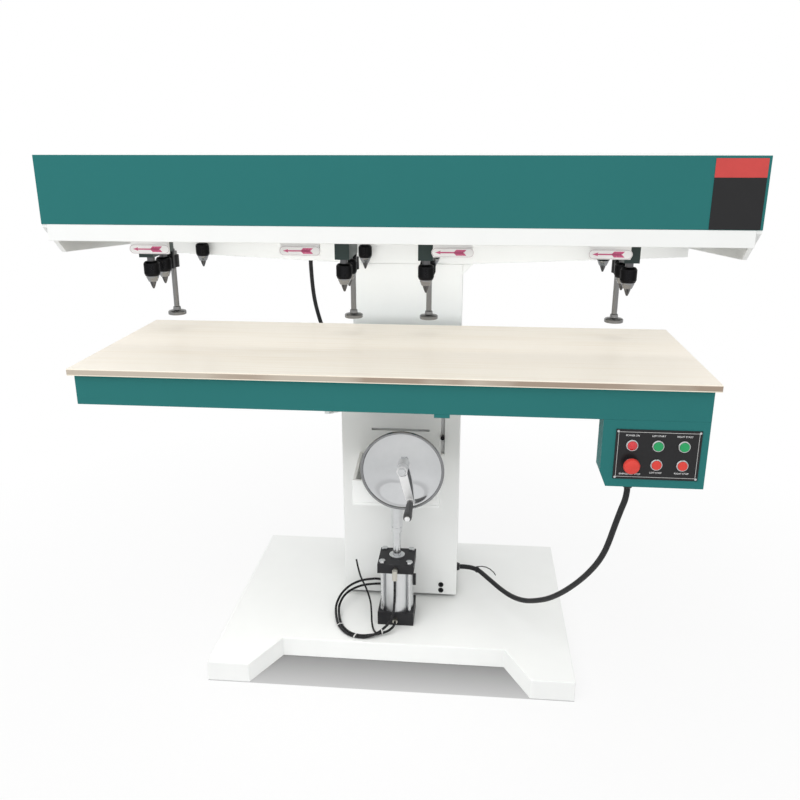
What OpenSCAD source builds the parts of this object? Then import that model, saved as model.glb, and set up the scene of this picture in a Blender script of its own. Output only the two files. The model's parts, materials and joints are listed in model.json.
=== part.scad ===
// Line boring machine for wood: four sliding heads of three spindles each on a beam,
// over a table that an air cylinder lifts towards the drills.
// Millimetres, +X to the operator's right, +Y away from the operator, +Z up.
// The origin is on the floor under the middle of the machine.

/* [Base and column] */
// Width of the floor base
base_w = 1090; // [900:10:1300]
// Place of the base's front edge
base_front_y = -350; // [-400:5:-300]
// Place of the base's back edge
base_back_y = 470; // [460:2:480]
// Height of the base
base_h = 64; // [50:2:80]
// Width of the toe notch at the base's front edge
notch_front_w = 834; // [700:2:880]
// Width of the toe notch at its inner end
notch_back_w = 690; // [500:2:700]
// Depth of the toe notch
notch_d = 140; // [80:2:180]
// Width of the column
column_w = 368; // [340:2:400]
// Depth of the column
column_d = 140; // [110:2:150]
// Place of the column's front face
column_front_y = 316; // [312:1:320]
// Plate thickness of the column
column_wall = 10; // [6:1:16]

/* [Beam] */
// Length of the beam
beam_l = 1830; // [1760:10:1900]
// Place of the beam's front face
beam_front_y = -285; // [-300:1:-280]
// Place of the beam's back face
beam_back_y = 487; // [480:1:500]
// Height of the painted front cover
cover_h = 174; // [160:2:176]
// Sheet thickness of the covers
sheet_t = 2.5; // [1.5:0.5:4]
// Width of each end cheek
cheek_w = 14; // [10:1:30]
// How far under the front cover the cheek's front chamfer starts
cheek_chamfer_drop = 8; // [4:1:20]
// How far under the front cover the cheek's edge behind the chamfer is
cheek_low_drop = 83; // [70:1:100]
// Run of the cheek's chamfer from front to back
cheek_chamfer_d = 85; // [60:1:100]
// How far under the front cover the cheek's edge at the back is
cheek_back_drop = 127; // [100:1:135]
// Height of the white front rail
rail_h = 43; // [40:1:60]
// Depth of the front rail
rail_d = 40; // [30:1:44]
// Wall of the front rail
rail_wall = 5; // [3:0.5:8]
// Height of the cross arm at the column
arm_h = 135; // [120:1:160]
// Height of the cross arm at its ends
arm_end_h = 104; // [90:1:118]
// How far the top of the cross arm is above the front rail's lower edge
arm_rise = 3; // [0:1:6]
// Size of the gussets between cross arm and column
gusset_size = 34; // [20:1:50]

/* [Guides] */
// Width of a profile guide rail
guide_w = 20; // [15:1:25]
// Height of a profile guide rail
guide_h = 18; // [15:1:18]
// Running gap between guide rail and guide block
guide_gap = 0.3; // [0.1:0.05:0.5]
// Width of a guide block
guide_block_w = 44; // [40:1:50]
// Distance of the lift rails from the middle of the column
lift_rail_x = 120; // [115:1:125]

/* [Table] */
// Length of the table board
board_l = 1610; // [1500:10:1700]
// Depth of the table board
board_d = 600; // [560:5:640]
// Thickness of the table board
board_t = 18; // [15:1:25]
// Height of the table's working face
table_z = 1000; // [990:1:1010]
// Place of the table's middle to the right of the machine's middle
table_x = 6; // [0:1:12]
// Place of the table's front edge
table_front_y = -470; // [-480:1:-460]
// Overhang of the board past the apron
board_overhang = 13; // [8:1:20]
// Height of the painted apron
apron_h = 79; // [70:1:85]
// Sheet thickness of the apron
apron_t = 3; // [2:0.5:5]
// Width of the two table bearers
bearer_w = 50; // [40:1:60]
// Wall of the table bearers
bearer_wall = 4; // [3:0.5:6]
// Distance of the table bearers from the middle
bearer_x = 140; // [130:1:150]
// Height of the table brackets where they meet the saddle
bracket_h = 166; // [120:2:200]
// Thickness of the table brackets
bracket_t = 12; // [8:1:16]

/* [Saddle] */
// Width of the saddle
saddle_w = 380; // [370:2:400]
// Place of the saddle's front face
saddle_front_y = 72; // [70:1:76]
// Gap between the base and the saddle at rest
saddle_lift_gap = 12; // [6:1:20]
// Plate thickness of the saddle
saddle_t = 12; // [10:1:12]
// Gap between the saddle's back and the column
saddle_back_gap = 32; // [30:1:34]
// Width of the crosshead that the piston rod lifts
crosshead_w = 266; // [220:2:280]
// Gap between the handwheel's axis and the top of the crosshead's front plate
crosshead_gap = 57; // [55:1:75]
// Height of the crosshead
crosshead_h = 83; // [60:1:90]
// Plate thickness of the crosshead
crosshead_t = 10; // [8:1:14]
// How far the crosshead reaches in front of the piston rod's axis
crosshead_reach = 49; // [44:1:56]
// Rise of the crosshead's ribs from the front plate to the saddle
rib_rise = 26; // [16:1:26]

/* [Air cylinder] */
// Place of the cylinder's axis from front to back
cylinder_y = -51; // [-54:1:-48]
// Side of the cylinder's square end caps
cap_side = 115; // [112:1:116]
// Height of the lower end cap
low_cap_h = 44; // [36:1:50]
// Height of the upper end cap
top_cap_h = 30; // [24:1:36]
// Share of the way from the base to the crosshead that the cylinder takes
cylinder_share = 0.5205; // [0.48:0.0005:0.56]
// Bore of the cylinder
cylinder_bore = 100; // [90:1:100]
// Wall of the cylinder barrel
barrel_wall = 3; // [2:0.5:3]
// Diameter of the piston rod
rod_d = 25; // [20:1:32]
// Diameter of a tie rod
tie_d = 11; // [8:1:11]
// Distance of the tie rods from the cylinder's middle
tie_pitch = 43; // [42.5:0.5:46]
// Diameter of the coupling on the piston rod
coupling_d = 34; // [30:1:40]
// Share of the way from the cylinder to the crosshead where the coupling starts
coupling_share = 0.46; // [0.4:0.02:0.6]

/* [Depth stop] */
// Diameter of the handwheel
wheel_d = 250; // [220:2:260]
// Place of the handwheel to the right of the middle
wheel_x = 25; // [15:1:35]
// How far the handwheel's axis is under the table's face
wheel_drop = 381; // [375:1:387]
// Place of the handwheel's rim plane
wheel_y = -150; // [-160:1:-148]
// Diameter of the handwheel's rim bar
rim_d = 11; // [9:1:18]
// Depth of the handwheel's dish
dish_d = 22; // [12:1:26]
// Diameter of the handwheel's shaft
shaft_d = 20; // [16:1:24]
// Radius of the handle's place on the wheel
handle_r = 102; // [90:1:104]
// Angle of the handle from straight down, towards the right
handle_angle = 14; // [0:1:30]
// Length of the revolving grip
grip_l = 104; // [80:1:110]
// Largest diameter of the grip
grip_d = 26; // [20:1:30]
// Diameter of the grip's pin
grip_pin_d = 10; // [8:1:12]
// Diameter of the depth screw
screw_d = 16; // [12:1:20]
// Largest radius of the bevel gears
bevel_r = 28; // [24:1:30]
// Place of the pointer slot to the right of the middle
slot_x = 136; // [125:1:150]
// Width of the pointer slot
slot_w = 12; // [10:1:14]
// Travel of the stop nut down its screw
stop_travel = 50; // [30:1:50]
// Length of the pointer slot above the pointer
slot_rise = 66; // [20:1:80]
// Height of the hand slit above the handwheel's axis
slit_rise = 45; // [40:1:60]

/* [Heads] */
// Distance of the first head from the left cheek
first_head_gap = 221; // [216:1:250]
// Distance of the last head from the right cheek
last_head_gap = 271; // [262:1:292]
// Places of the two inner heads along the beam
inner_head_x = [-135, 90];
// Offsets of the direction tags from their heads
tag_dx = [22, -109, 73, -61];
// Width of a head's carriage plate
carriage_w = 100; // [80:2:110]
// Thickness of a carriage plate
carriage_t = 12; // [8:1:14]
// Width of a direction tag's plate
tag_w = 104; // [96:2:120]
// How far a direction tag's plate hangs under the front rail
tag_drop = 41; // [30:1:44]
// Gap between the table and the chucks at rest
chuck_gap = 152; // [145:1:165]
// Place of the front spindles
front_spindle_y = -154; // [-158:1:-150]
// Distance from the front spindle to the middle one
spindle_pitch = 90; // [84:1:92]
// Place of the rear spindles
rear_spindle_y = 280; // [270:1:284]
// Width of the spindle case
case_w = 40; // [36:1:60]
// Overhang of the spindle case past its spindles
case_end = 33; // [28:1:33]
// Height of the spindle case
case_h = 87; // [80:1:92]
// Diameter of a spindle's shaft
spindle_d = 18; // [14:1:20]
// Diameter of a chuck's sleeve
chuck_d = 44; // [38:1:46]
// Length of a chuck's sleeve
sleeve_l = 41; // [36:1:46]
// Length of a chuck's nose and jaws
nose_l = 36; // [30:1:40]
// Diameter of the motor over the spindle case
motor_d = 112; // [100:2:114]
// Diameter of the motor over the rear spindle
rear_motor_d = 96; // [80:2:100]
// Gap between the motors and the top of the beam
motor_clear = 11.5; // [8:0.5:20]

/* [Hold-downs] */
// Place of the hold-down rods
hold_down_y = 9; // [6:1:20]
// Gap between the table and the hold-down feet at rest
foot_gap = 46; // [44:1:60]
// Diameter of a hold-down foot
foot_d = 54; // [40:1:60]
// Thickness of a hold-down foot
foot_t = 11; // [6:1:14]
// Diameter of a hold-down rod
hold_rod_d = 16; // [12:1:18]
// Height of the hold-down bracket's guide
hold_guide_h = 36; // [30:1:44]
// How far the hold-down bracket hangs under the spindle case
hold_drop = 53; // [46:1:56]

/* [Control box] */
// Width of the control box
box_w = 254; // [240:1:270]
// Height of the control box under the apron
box_h = 175; // [165:1:200]
// Depth of the control box
box_d = 64; // [56:1:100]
// Width of the chamfer at the box's lower left corner
box_chamfer_w = 16; // [10:1:24]
// Height of the chamfer at the box's lower left corner
box_chamfer_h = 38; // [20:1:44]
// Width of the button plate
plate_w = 205; // [195:1:215]
// Height of the button plate
plate_h = 130; // [120:1:140]
// Thickness of the button plate
plate_t = 2; // [1:0.5:3]
// Distance between the button columns
button_pitch_x = 62; // [56:1:66]
// Distance between the button rows
button_pitch_z = 49; // [46:1:54]
// Outer diameter of a button's bezel
bezel_d = 30; // [28:0.5:34]
// Height of a button's bezel
bezel_h = 5; // [4:0.5:7]
// Diameter of a button cap
button_d = 23.4; // [20:0.2:24]
// How far a button cap stands out of its bezel
button_out = 3; // [2:0.5:5]
// Length of a button behind its bezel's face
button_l = 27; // [20:1:32]
// Diameter of the emergency stop's mushroom head
estop_d = 40; // [36:1:44]
// How far the emergency stop stands out of the button plate
estop_out = 28; // [26:1:30]

/* [Cables and hoses] */
// Diameter of the control cable
control_cable_d = 16; // [12:1:18]
// Diameter of the cable on the column
motor_cable_d = 14; // [10:1:16]
// Diameter of the air hoses
hose_d = 8; // [6:1:10]
// Diameter of a cable gland
gland_d = 30; // [26:1:36]

/* [Hidden] */
$fn = 64;

// Paint and metal colours
white_paint = [0.93, 0.94, 0.93];
teal_paint = [0.10, 0.42, 0.40];
green_paint = [0.16, 0.27, 0.26];
black = [0.08, 0.08, 0.08];
steel = [0.72, 0.73, 0.74];
birch = [0.90, 0.83, 0.70];
red = [0.80, 0.10, 0.08];
green = [0.10, 0.55, 0.28];

// Running clearance of shafts and rods, and of faces that slide past each other
shaft_gap = 0.1;
slide_gap = 0.3;

// Seam between the plates of one welded piece
weld_gap = 0.05;

// Levels over the table: chucks, spindle cases and carriages
spindle_nose_h = 14;
block_clear = 6;
block_h = 24;
chuck_tip_z = table_z + chuck_gap;
sleeve_low_z = chuck_tip_z + nose_l;
sleeve_top_z = sleeve_low_z + sleeve_l;
case_low_z = sleeve_top_z + spindle_nose_h;
carriage_z = case_low_z + case_h;
carriage_top_z = carriage_z + carriage_t;
spindle_end_gap = 10;
spindle_top_z = carriage_z - spindle_end_gap;

// Column and beam levels
column_back_y = column_front_y + column_d;
arm_top_z = carriage_z - block_clear - block_h;
rail_low_z = arm_top_z - arm_rise;
rail_back_y = beam_front_y + rail_d;
cover_low_z = rail_low_z + rail_h;
beam_top_z = cover_low_z + cover_h;
inner_x = beam_l / 2 - cheek_w;
cheek_front_y = beam_front_y + sheet_t;
cheek_back_y = beam_back_y - sheet_t;
cheek_top_z = beam_top_z - sheet_t;
cheek_chamfer_z = cover_low_z - cheek_chamfer_drop;
cheek_low_z = cover_low_z - cheek_low_drop;
cheek_back_z = cover_low_z - cheek_back_drop;
arm_low_z = arm_top_z - arm_h;
arm_end_z = arm_top_z - arm_end_h;
arm_slope = (arm_end_z - arm_low_z) / (inner_x - column_w / 2);

// Guides of the heads: one rail behind the front rail, one on the cross arm
front_guide_z = rail_low_z + rail_h / 2;
rear_guide_in = 29;
rear_guide_y = column_front_y + rear_guide_in;
guide_block_l = 80;
front_block_spare = 4;
front_plate_back_y = rail_back_y + block_clear + block_h + front_block_spare + carriage_t;
front_plate_y = front_plate_back_y - carriage_t;
carriage_back_in = 27;
carriage_back_y = rear_guide_y + carriage_back_in;
motor_flange_t = 8;
motor_h = cheek_top_z - motor_clear - carriage_top_z;
head_x = [first_head_gap - inner_x, inner_head_x[0], inner_head_x[1], inner_x - last_head_gap];
tag_low_z = rail_low_z - tag_drop;

// Spindles and chucks
middle_spindle_y = front_spindle_y + spindle_pitch;
quill_d = spindle_d * 3;
jaw_slit = 1.2;

// Hold-down bracket
hold_plate_y = middle_spindle_y + case_end;
hold_plate_t = 12;
hold_low_z = case_low_z - hold_drop;
foot_z = table_z + foot_gap;
hold_guide_wall = 10;
hold_guide_d = hold_rod_d + 2 * hold_guide_wall;
hold_plate_drop = 30;
hold_plate_top_z = carriage_z - hold_plate_drop;
collar_h = 11;

// Table levels
board_low_z = table_z - board_t;
apron_low_z = board_low_z - apron_h;
board_x = [table_x - board_l / 2, table_x + board_l / 2];
apron_x = [board_x[0] + board_overhang, board_x[1] - board_overhang];
apron_front_y = table_front_y + board_overhang;
apron_back_y = table_front_y + board_d - board_overhang;

// Saddle levels
saddle_low_z = base_h + saddle_lift_gap;
saddle_top_z = apron_low_z;
saddle_back_y = column_front_y - saddle_back_gap;
saddle_inner_x = saddle_w / 2 - saddle_t;
back_flange_in = 3;
back_flange_x = lift_rail_x - guide_block_w / 2 - back_flange_in;
lift_block_h = 80;
low_block_rise = 34;
low_block_z = saddle_low_z + low_block_rise;
top_block_drop = 140;
top_block_z = saddle_top_z - top_block_drop;
lift_travel = 75;
lift_rail_rise = 8;
lift_rail_low_z = saddle_low_z + lift_rail_rise;
lift_rail_over = 37;
lift_rail_top_z = saddle_top_z + lift_rail_over;
wheel_z = table_z - wheel_drop;
slit_w = 186;
slit_h = 8;
slit_z = wheel_z + slit_rise;
crosshead_front_y = cylinder_y - crosshead_reach;
crosshead_z = wheel_z - crosshead_gap - crosshead_h;
crosshead_rib_h = crosshead_h - crosshead_t;

// Air cylinder
cylinder_top_z = base_h + cylinder_share * (crosshead_z - base_h);
cap_low_top_z = base_h + low_cap_h;
cap_top_low_z = cylinder_top_z - top_cap_h;
barrel_d = cylinder_bore + 2 * barrel_wall;
piston_h = 22;
piston_room = 4;
piston_z = cap_low_top_z + piston_room;
coupling_z = cylinder_top_z + coupling_share * (crosshead_z - cylinder_top_z);
nut_h = 9;
cap_front_y = cylinder_y - cap_side / 2;
fitting_l = 16;
fitting_d = 16;
top_fitting_z = cylinder_top_z - top_cap_h / 2;
low_fitting_z = base_h + low_cap_h / 2;
fitting_y = cap_front_y - fitting_l;
elbow_l = 25;
elbow_y = fitting_y - hose_d / 2;
bulkhead_h = 18;
bulkhead_in = 85;
bulkhead_step = 16;
bulkhead_left = 18;
bulkhead_right = 6;
bulkheads = [
    [-bulkhead_left, cylinder_y + bulkhead_in + bulkhead_step], [bulkhead_right, cylinder_y + bulkhead_in]
];
bulkhead_wall = 4;
bulkhead_top_z = base_h + bulkhead_h;

// Depth stop
hub_wall = 6;
hub_d = shaft_d + 2 * hub_wall;
hub_back_in = 45;
hub_back_y = wheel_y + hub_back_in;
hub_front_out = 6;
hub_front_y = wheel_y - hub_front_out;
crank_wall = 3;
crank_w = shaft_d + 2 * crank_wall;
crank_t = 7;
wheel_web_t = 4;
tube_wall = 13;
tube_d = shaft_d + 2 * tube_wall;
tube_front_y = hub_back_y + slide_gap;
handle_x = wheel_x + handle_r * sin(handle_angle);
handle_z = wheel_z - handle_r * cos(handle_angle);
seat_wall = 7;
seat_d = grip_pin_d + 2 * seat_wall;
seat_out = 10;
seat_front_y = wheel_y - seat_out;
grip_back_y = seat_front_y - slide_gap;
grip_front_y = grip_back_y - grip_l;
bevel_in = 78;
bevel_y = saddle_front_y + bevel_in;
bevel_face = 14;
bevel_gap = 0.4;
screw_end_gap = 3;
screw_bearing_z = wheel_z + bevel_r + screw_end_gap;
screw_bearing_t = 12;
nut_h_z = 40;
nut_wall = 10;
nut_w = screw_d + 2 * nut_wall;
nut_low_z = screw_bearing_z + screw_bearing_t + screw_end_gap + stop_travel;
nut_top_z = nut_low_z + nut_h_z;
screw_over = 10;
screw_top_z = nut_top_z + screw_over;
lug_room = 5;
lug_z = screw_top_z + lift_travel + lug_room;
lug_w = 40;
lug_h = 25;
pointer_drop = 66;
pointer_z = nut_low_z - pointer_drop;
pointer_out = 6;
pointer_d = 6;
pointer_knob_d = 14;
pointer_knob_t = 10;
arm_bar = 12;

// Control box and its panel
box_right_x = apron_x[1];
box_left_x = box_right_x - box_w;
box_low_z = apron_low_z - box_h;
plate_shift = 7;
box_mid_x = (box_left_x + box_right_x) / 2 + plate_shift;
plate_rise = 22;
plate_z = box_low_z + plate_rise + plate_h / 2;
plate_front_y = apron_front_y - plate_t;
bezel_front_y = plate_front_y - bezel_h;
bezel_hole_d = button_d + 2 * slide_gap;
top_row_z = plate_z + button_pitch_z / 2;
low_row_z = plate_z - button_pitch_z / 2;
button_xs = [box_mid_x - button_pitch_x, box_mid_x, box_mid_x + button_pitch_x];
button_places = [for (z = [top_row_z, low_row_z]) for (x = button_xs) [x, z]];
button_room = 8;
estop_head_h = 15;
lamp_out = 11;

// Cable glands
gland_l = 14;
gland_nut_h = 6;
gland_wall = 3;
box_gland_in = [77, 32];
box_gland = [box_left_x + box_gland_in[0], apron_front_y + box_gland_in[1]];
grommet_in = 80;
grommet_rise = 76;
grommet = [saddle_front_y + grommet_in, base_h + grommet_rise];
grommet_t = 10;
arm_gland_out = 154;
arm_gland_in = 70;
arm_gland = [-column_w / 2 - arm_gland_out, column_front_y + arm_gland_in];
arm_gland_l = 1;
arm_gland_z = arm_low_z - arm_gland_l;
column_gland_drop = 384;
column_gland_z = arm_low_z - column_gland_drop;
end_gap = 0.3;

// Control cable: it hangs from the box's gland in one upright plane, and bends into the saddle's grommet.
// The hanging stretch is a list of run and fall from the gland, drawn out to the bend's start.
control_cable_high = [box_gland[0], box_gland[1], box_low_z - gland_l - end_gap];
control_cable_low = [saddle_w / 2 + grommet_t + end_gap, grommet[0], grommet[1]];
control_cable_bend = 68;
control_cable_corner_out = 52;
control_cable_hang = [
    [0, 0], [0, 14], [4, 38], [14, 68], [25, 102], [36, 138], [47, 174], [60, 210], [80, 250], [106, 290],
    [138, 332], [178, 378], [226, 427], [280, 474], [337, 513], [397, 546], [459, 567], [522, 575],
    [585, 575], [652, 574]
];
cable_corner = [control_cable_low.x + control_cable_corner_out, control_cable_low.y];
cable_way = [cable_corner.x - control_cable_high.x, cable_corner.y - control_cable_high.y];
cable_heading = cable_way / norm(cable_way);
cable_turn = acos(-cable_heading.x);
cable_tangent = control_cable_bend * tan(cable_turn / 2);
hang_end = control_cable_hang[len(control_cable_hang) - 1];
hang_run = (norm(cable_way) - cable_tangent) / hang_end[0];
hang_fall = (control_cable_high.z - control_cable_low.z) / hang_end[1];
control_cable_route = concat(
    [for (p = control_cable_hang) [
        control_cable_high.x + cable_heading.x * p[0] * hang_run,
        control_cable_high.y + cable_heading.y * p[0] * hang_run,
        control_cable_high.z - p[1] * hang_fall
    ]],
    [for (part = [2 / 3, 1 / 3, 0]) [
        cable_corner.x - cable_tangent + control_cable_bend * sin(cable_turn * part),
        cable_corner.y - control_cable_bend + control_cable_bend * cos(cable_turn * part),
        control_cable_low.z
    ]],
    [control_cable_low]
);

// Cable on the column: places from the column's gland, to the left and up
motor_cable_shape = [
    [154, 364], [152, 319], [149, 279], [144, 241], [136, 203], [125, 163],
    [112, 122], [98, 81], [86, 45], [73, 21.5], [51, 5.5], [24.5, 0]
];
motor_cable_route = concat(
    [[arm_gland[0], arm_gland[1], arm_gland_z - end_gap]],
    [for (p = motor_cable_shape) [-column_w / 2 - p[0], arm_gland[1], column_gland_z + p[1]]],
    [[-column_w / 2 - grommet_t - end_gap, arm_gland[1], column_gland_z]]
);

// Routes of the two air hoses in their tied loop, and of the spare tail that branches from it,
// as places from the foot of the cylinder's axis
function from_foot(shape) = [for (p = shape) [p[0], cylinder_y + p[1], base_h + p[2]]];
hose_drop_z = top_fitting_z - elbow_l - end_gap;
upper_hose_shape = [
    [-12, -99, 42], [-28, -115, 28], [-50, -130, 16], [-76, -139, 8], [-100, -141, 5],
    [-128, -136, 5], [-156, -117, 5], [-180, -83, 6], [-196, -39, 12], [-202, 6, 26],
    [-190, 46, 44], [-164, 73, 60], [-130, 89, 70], [-94, 97, 73.5], [-74, 100, 73],
    [-54, 101, 70], [-36, 101, 65.2], [-22.8, 101, 52], [-18, 101, 34]
];
upper_hose_route = concat(
    [[0, elbow_y, hose_drop_z], [0, elbow_y, hose_drop_z - 22], [0, elbow_y - 1, hose_drop_z - 50]],
    [[-1, elbow_y - 4, base_h + 96], [-4, elbow_y - 9, base_h + 66]],
    from_foot(upper_hose_shape),
    [[bulkheads[0][0], bulkheads[0][1], bulkhead_top_z + end_gap]]
);
lower_hose_shape = [
    [-5.4, -103, 20.5], [-20, -117.6, 16], [-40, -123, 11], [-64, -126.5, 7], [-97, -131, 5],
    [-123, -126.5, 5], [-149, -109.5, 5], [-171.5, -78, 6], [-186.5, -36, 12], [-192, 4.5, 24],
    [-181.5, 41, 38], [-158, 65, 49], [-126.5, 79.5, 57], [-94, 83, 62], [-62, 85, 64],
    [-28, 85, 62], [-11, 85, 57.4], [1.4, 85, 45], [6, 85, 28]
];
lower_hose_route = concat(
    [[0, fitting_y - end_gap, low_fitting_z], [0, fitting_y - 9.5, low_fitting_z]],
    from_foot(lower_hose_shape),
    [[bulkheads[1][0], bulkheads[1][1], bulkhead_top_z + end_gap]]
);
spare_hose_route = from_foot([
    [-52, -124.7, 9], [-66, -99, 7], [-74, -75, 18], [-78, -53, 40], [-84, -33, 70],
    [-100, -13, 104], [-118, 1, 134], [-128, 9, 164], [-134, 13, 192]
]);

// A box between two corners
module block(low, high) {
    translate(low)
        cube(high - low);
}

// A round bar along Z
module bar_z(x, y, z0, z1, d) {
    translate([x, y, z0])
        cylinder(h = z1 - z0, d = d);
}

// A round bar along Y
module bar_y(x, z, y0, y1, d) {
    translate([x, y0, z])
        rotate([-90, 0, 0])
            cylinder(h = y1 - y0, d = d);
}

// An outline in Y and Z, drawn out along X
module along_x(x0, x1) {
    translate([x0, 0, 0])
        rotate([90, 0, 90])
            linear_extrude(x1 - x0)
                children();
}

// An outline in X and Z, drawn out along Y
module along_y(y0, y1) {
    translate([0, y1, 0])
        rotate([90, 0, 0])
            linear_extrude(y1 - y0)
                children();
}

// A profile of radius and place along Y, turned about an axis at x and z
module turned_y(x, z) {
    translate([x, 0, z])
        rotate([-90, 0, 0])
            rotate_extrude()
                children();
}

function unit(v) = v / norm(v);
function route_way(p, i) =
    unit(p[min(i + 1, len(p) - 1)] - p[max(i - 1, 0)]);
function route_sides(p, i = 0, last = [0, 0, 0], made = []) =
    i == len(p) ? made :
    let (
        way = route_way(p, i),
        seed = i == 0 ? (abs(way.z) > 0.8 ? [1, 0, 0] : [0, 0, 1]) : last,
        side = unit(seed - way * (seed * way))
    )
    route_sides(p, i + 1, side, concat(made, [side]));

// A round tube of a given diameter along a route
module route_tube(p, d, sides = 10) {
    n = len(p);
    across = route_sides(p);
    points = [
        for (i = [0:n - 1]) let (way = route_way(p, i), up = cross(way, across[i]))
            for (k = [0:sides - 1])
                p[i] + d / 2 * (cos(360 * k / sides) * across[i] + sin(360 * k / sides) * up)
    ];
    walls = [
        for (i = [0:n - 2]) for (k = [0:sides - 1])
            let (a = i * sides + k, b = i * sides + (k + 1) % sides)
            each [[a, a + sides, b], [b, a + sides, b + sides]]
    ];
    first_end = [for (k = [0:sides - 1]) k];
    last_end = [for (k = [sides - 1:-1:0]) (n - 1) * sides + k];
    polyhedron(points = points, faces = concat(walls, [first_end], [last_end]));
}

// Outline of a guide block round a guide rail, whose foot is at the origin and which points up
module guide_block_outline() {
    difference() {
        translate([-guide_block_w / 2, block_clear])
            square([guide_block_w, block_h - weld_gap]);
        translate([-guide_w / 2 - guide_gap, 0])
            square([guide_w + 2 * guide_gap, guide_h + guide_gap]);
    }
}

module guide_rail_outline() {
    translate([-guide_w / 2, 0])
        square([guide_w, guide_h]);
}

module base() {
    color(white_paint)
        linear_extrude(base_h)
            polygon([
                [-base_w / 2, base_front_y], [-notch_front_w / 2, base_front_y],
                [-notch_back_w / 2, base_front_y + notch_d], [notch_back_w / 2, base_front_y + notch_d],
                [notch_front_w / 2, base_front_y], [base_w / 2, base_front_y],
                [base_w / 2, base_back_y], [-base_w / 2, base_back_y]
            ]);
}

// Box column of welded plates with a web in the middle, and the lug that the stop nut meets
module column() {
    half = column_w / 2;
    color(white_paint) {
        for (y = [column_front_y, column_back_y - column_wall])
            block([-half, y, base_h], [half, y + column_wall, arm_low_z]);
        for (x = [-half, -column_wall / 2, half - column_wall])
            block(
                [x, column_front_y + column_wall + weld_gap, base_h],
                [x + column_wall, column_back_y - column_wall - weld_gap, arm_low_z]
            );
        block(
            [wheel_x - lug_w / 2, bevel_y, lug_z],
            [wheel_x + lug_w / 2, column_front_y - weld_gap, lug_z + lug_h]
        );
    }
}

// Side view of the cross arm, deepest over the column
module arm_outline() {
    half = column_w / 2;
    polygon([
        [-inner_x, arm_end_z], [-half, arm_low_z], [half, arm_low_z], [inner_x, arm_end_z],
        [inner_x, arm_top_z], [-inner_x, arm_top_z]
    ]);
}

module cross_arm() {
    half = column_w / 2;
    gusset_z = arm_low_z + arm_slope * gusset_size;
    color(white_paint) {
        along_y(column_front_y, column_back_y)
            arm_outline();
        for (side = [-1, 1])
            along_y(column_front_y, column_back_y)
                polygon([
                    [side * half, arm_low_z - weld_gap], [side * half, arm_low_z - gusset_size],
                    [side * (half + gusset_size), gusset_z - weld_gap]
                ]);
    }
}

module beam_cheeks() {
    color(white_paint)
        for (x = [-beam_l / 2, inner_x])
            along_x(x, x + cheek_w)
                polygon([
                    [cheek_front_y, cheek_top_z], [cheek_front_y, cheek_chamfer_z],
                    [cheek_front_y + cheek_chamfer_d, cheek_low_z], [cheek_back_y, cheek_back_z],
                    [cheek_back_y, cheek_top_z]
                ]);
}

// Top sheet and back sheet of the beam
module beam_cover() {
    color(white_paint) {
        block([-beam_l / 2, cheek_front_y, cheek_top_z], [beam_l / 2, beam_back_y, beam_top_z]);
        block([-beam_l / 2, cheek_back_y, cheek_back_z], [beam_l / 2, beam_back_y, cheek_top_z - weld_gap]);
    }
}

// Painted front cover, with a return along its lower edge
module front_cover() {
    color(teal_paint) {
        block([-beam_l / 2, beam_front_y, cover_low_z], [beam_l / 2, cheek_front_y, beam_top_z]);
        block(
            [-inner_x, cheek_front_y + weld_gap, cover_low_z],
            [inner_x, rail_back_y, cover_low_z + sheet_t]
        );
    }
}

module front_rail() {
    color(white_paint)
        along_x(-inner_x, inner_x)
            difference() {
                translate([beam_front_y, rail_low_z])
                    square([rail_d, rail_h]);
                translate([beam_front_y + rail_wall, rail_low_z + rail_wall])
                    square([rail_d - 2 * rail_wall, rail_h - 2 * rail_wall]);
            }
}

// Profile rails that the four heads slide on
module guide_bars() {
    color(steel)
        along_x(-inner_x, inner_x) {
            translate([rail_back_y, front_guide_z])
                rotate(-90)
                    guide_rail_outline();
            translate([rear_guide_y, arm_top_z])
                guide_rail_outline();
        }
}

// Profile rails on the column that guide the saddle
module lift_rails() {
    color(steel)
        for (x = [-lift_rail_x, lift_rail_x])
            translate([x, column_front_y, lift_rail_low_z])
                linear_extrude(lift_rail_top_z - lift_rail_low_z)
                    rotate(180)
                        guide_rail_outline();
}

// Holes for the tie rods in both caps
module tie_holes(z0, z1) {
    for (x = [-tie_pitch, tie_pitch], y = [-tie_pitch, tie_pitch])
        bar_z(x, cylinder_y + y, z0, z1, tie_d);
}

module cap_block(z0, z1) {
    block([-cap_side / 2, cap_front_y, z0], [cap_side / 2, cap_front_y + cap_side, z1]);
}

module cylinder_caps() {
    color(black) {
        difference() {
            cap_block(base_h, cap_low_top_z);
            tie_holes(base_h + nut_h, cap_low_top_z + 1);
        }
        difference() {
            union() {
                cap_block(cap_top_low_z, cylinder_top_z);
                bar_z(0, cylinder_y, cylinder_top_z - 1, cylinder_top_z + 8, rod_d + 22);
            }
            tie_holes(cap_top_low_z - 1, cylinder_top_z + 1);
            bar_z(0, cylinder_y, cap_top_low_z - 1, cylinder_top_z + 20, rod_d + 2 * shaft_gap);
        }
    }
}

module cylinder_barrel() {
    color(steel)
        difference() {
            bar_z(0, cylinder_y, cap_low_top_z, cap_top_low_z, barrel_d);
            bar_z(0, cylinder_y, cap_low_top_z - 1, cap_top_low_z + 1, cylinder_bore);
        }
}

// Four tie rods with a hexagon nut on the upper cap
module tie_rods() {
    color(steel)
        for (x = [-tie_pitch, tie_pitch], y = [-tie_pitch, tie_pitch])
            translate([x, cylinder_y + y, 0]) {
                bar_z(0, 0, base_h + nut_h, cylinder_top_z, tie_d);
                translate([0, 0, cylinder_top_z])
                    cylinder(h = nut_h, d = tie_d * 1.9, $fn = 6);
            }
}

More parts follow.
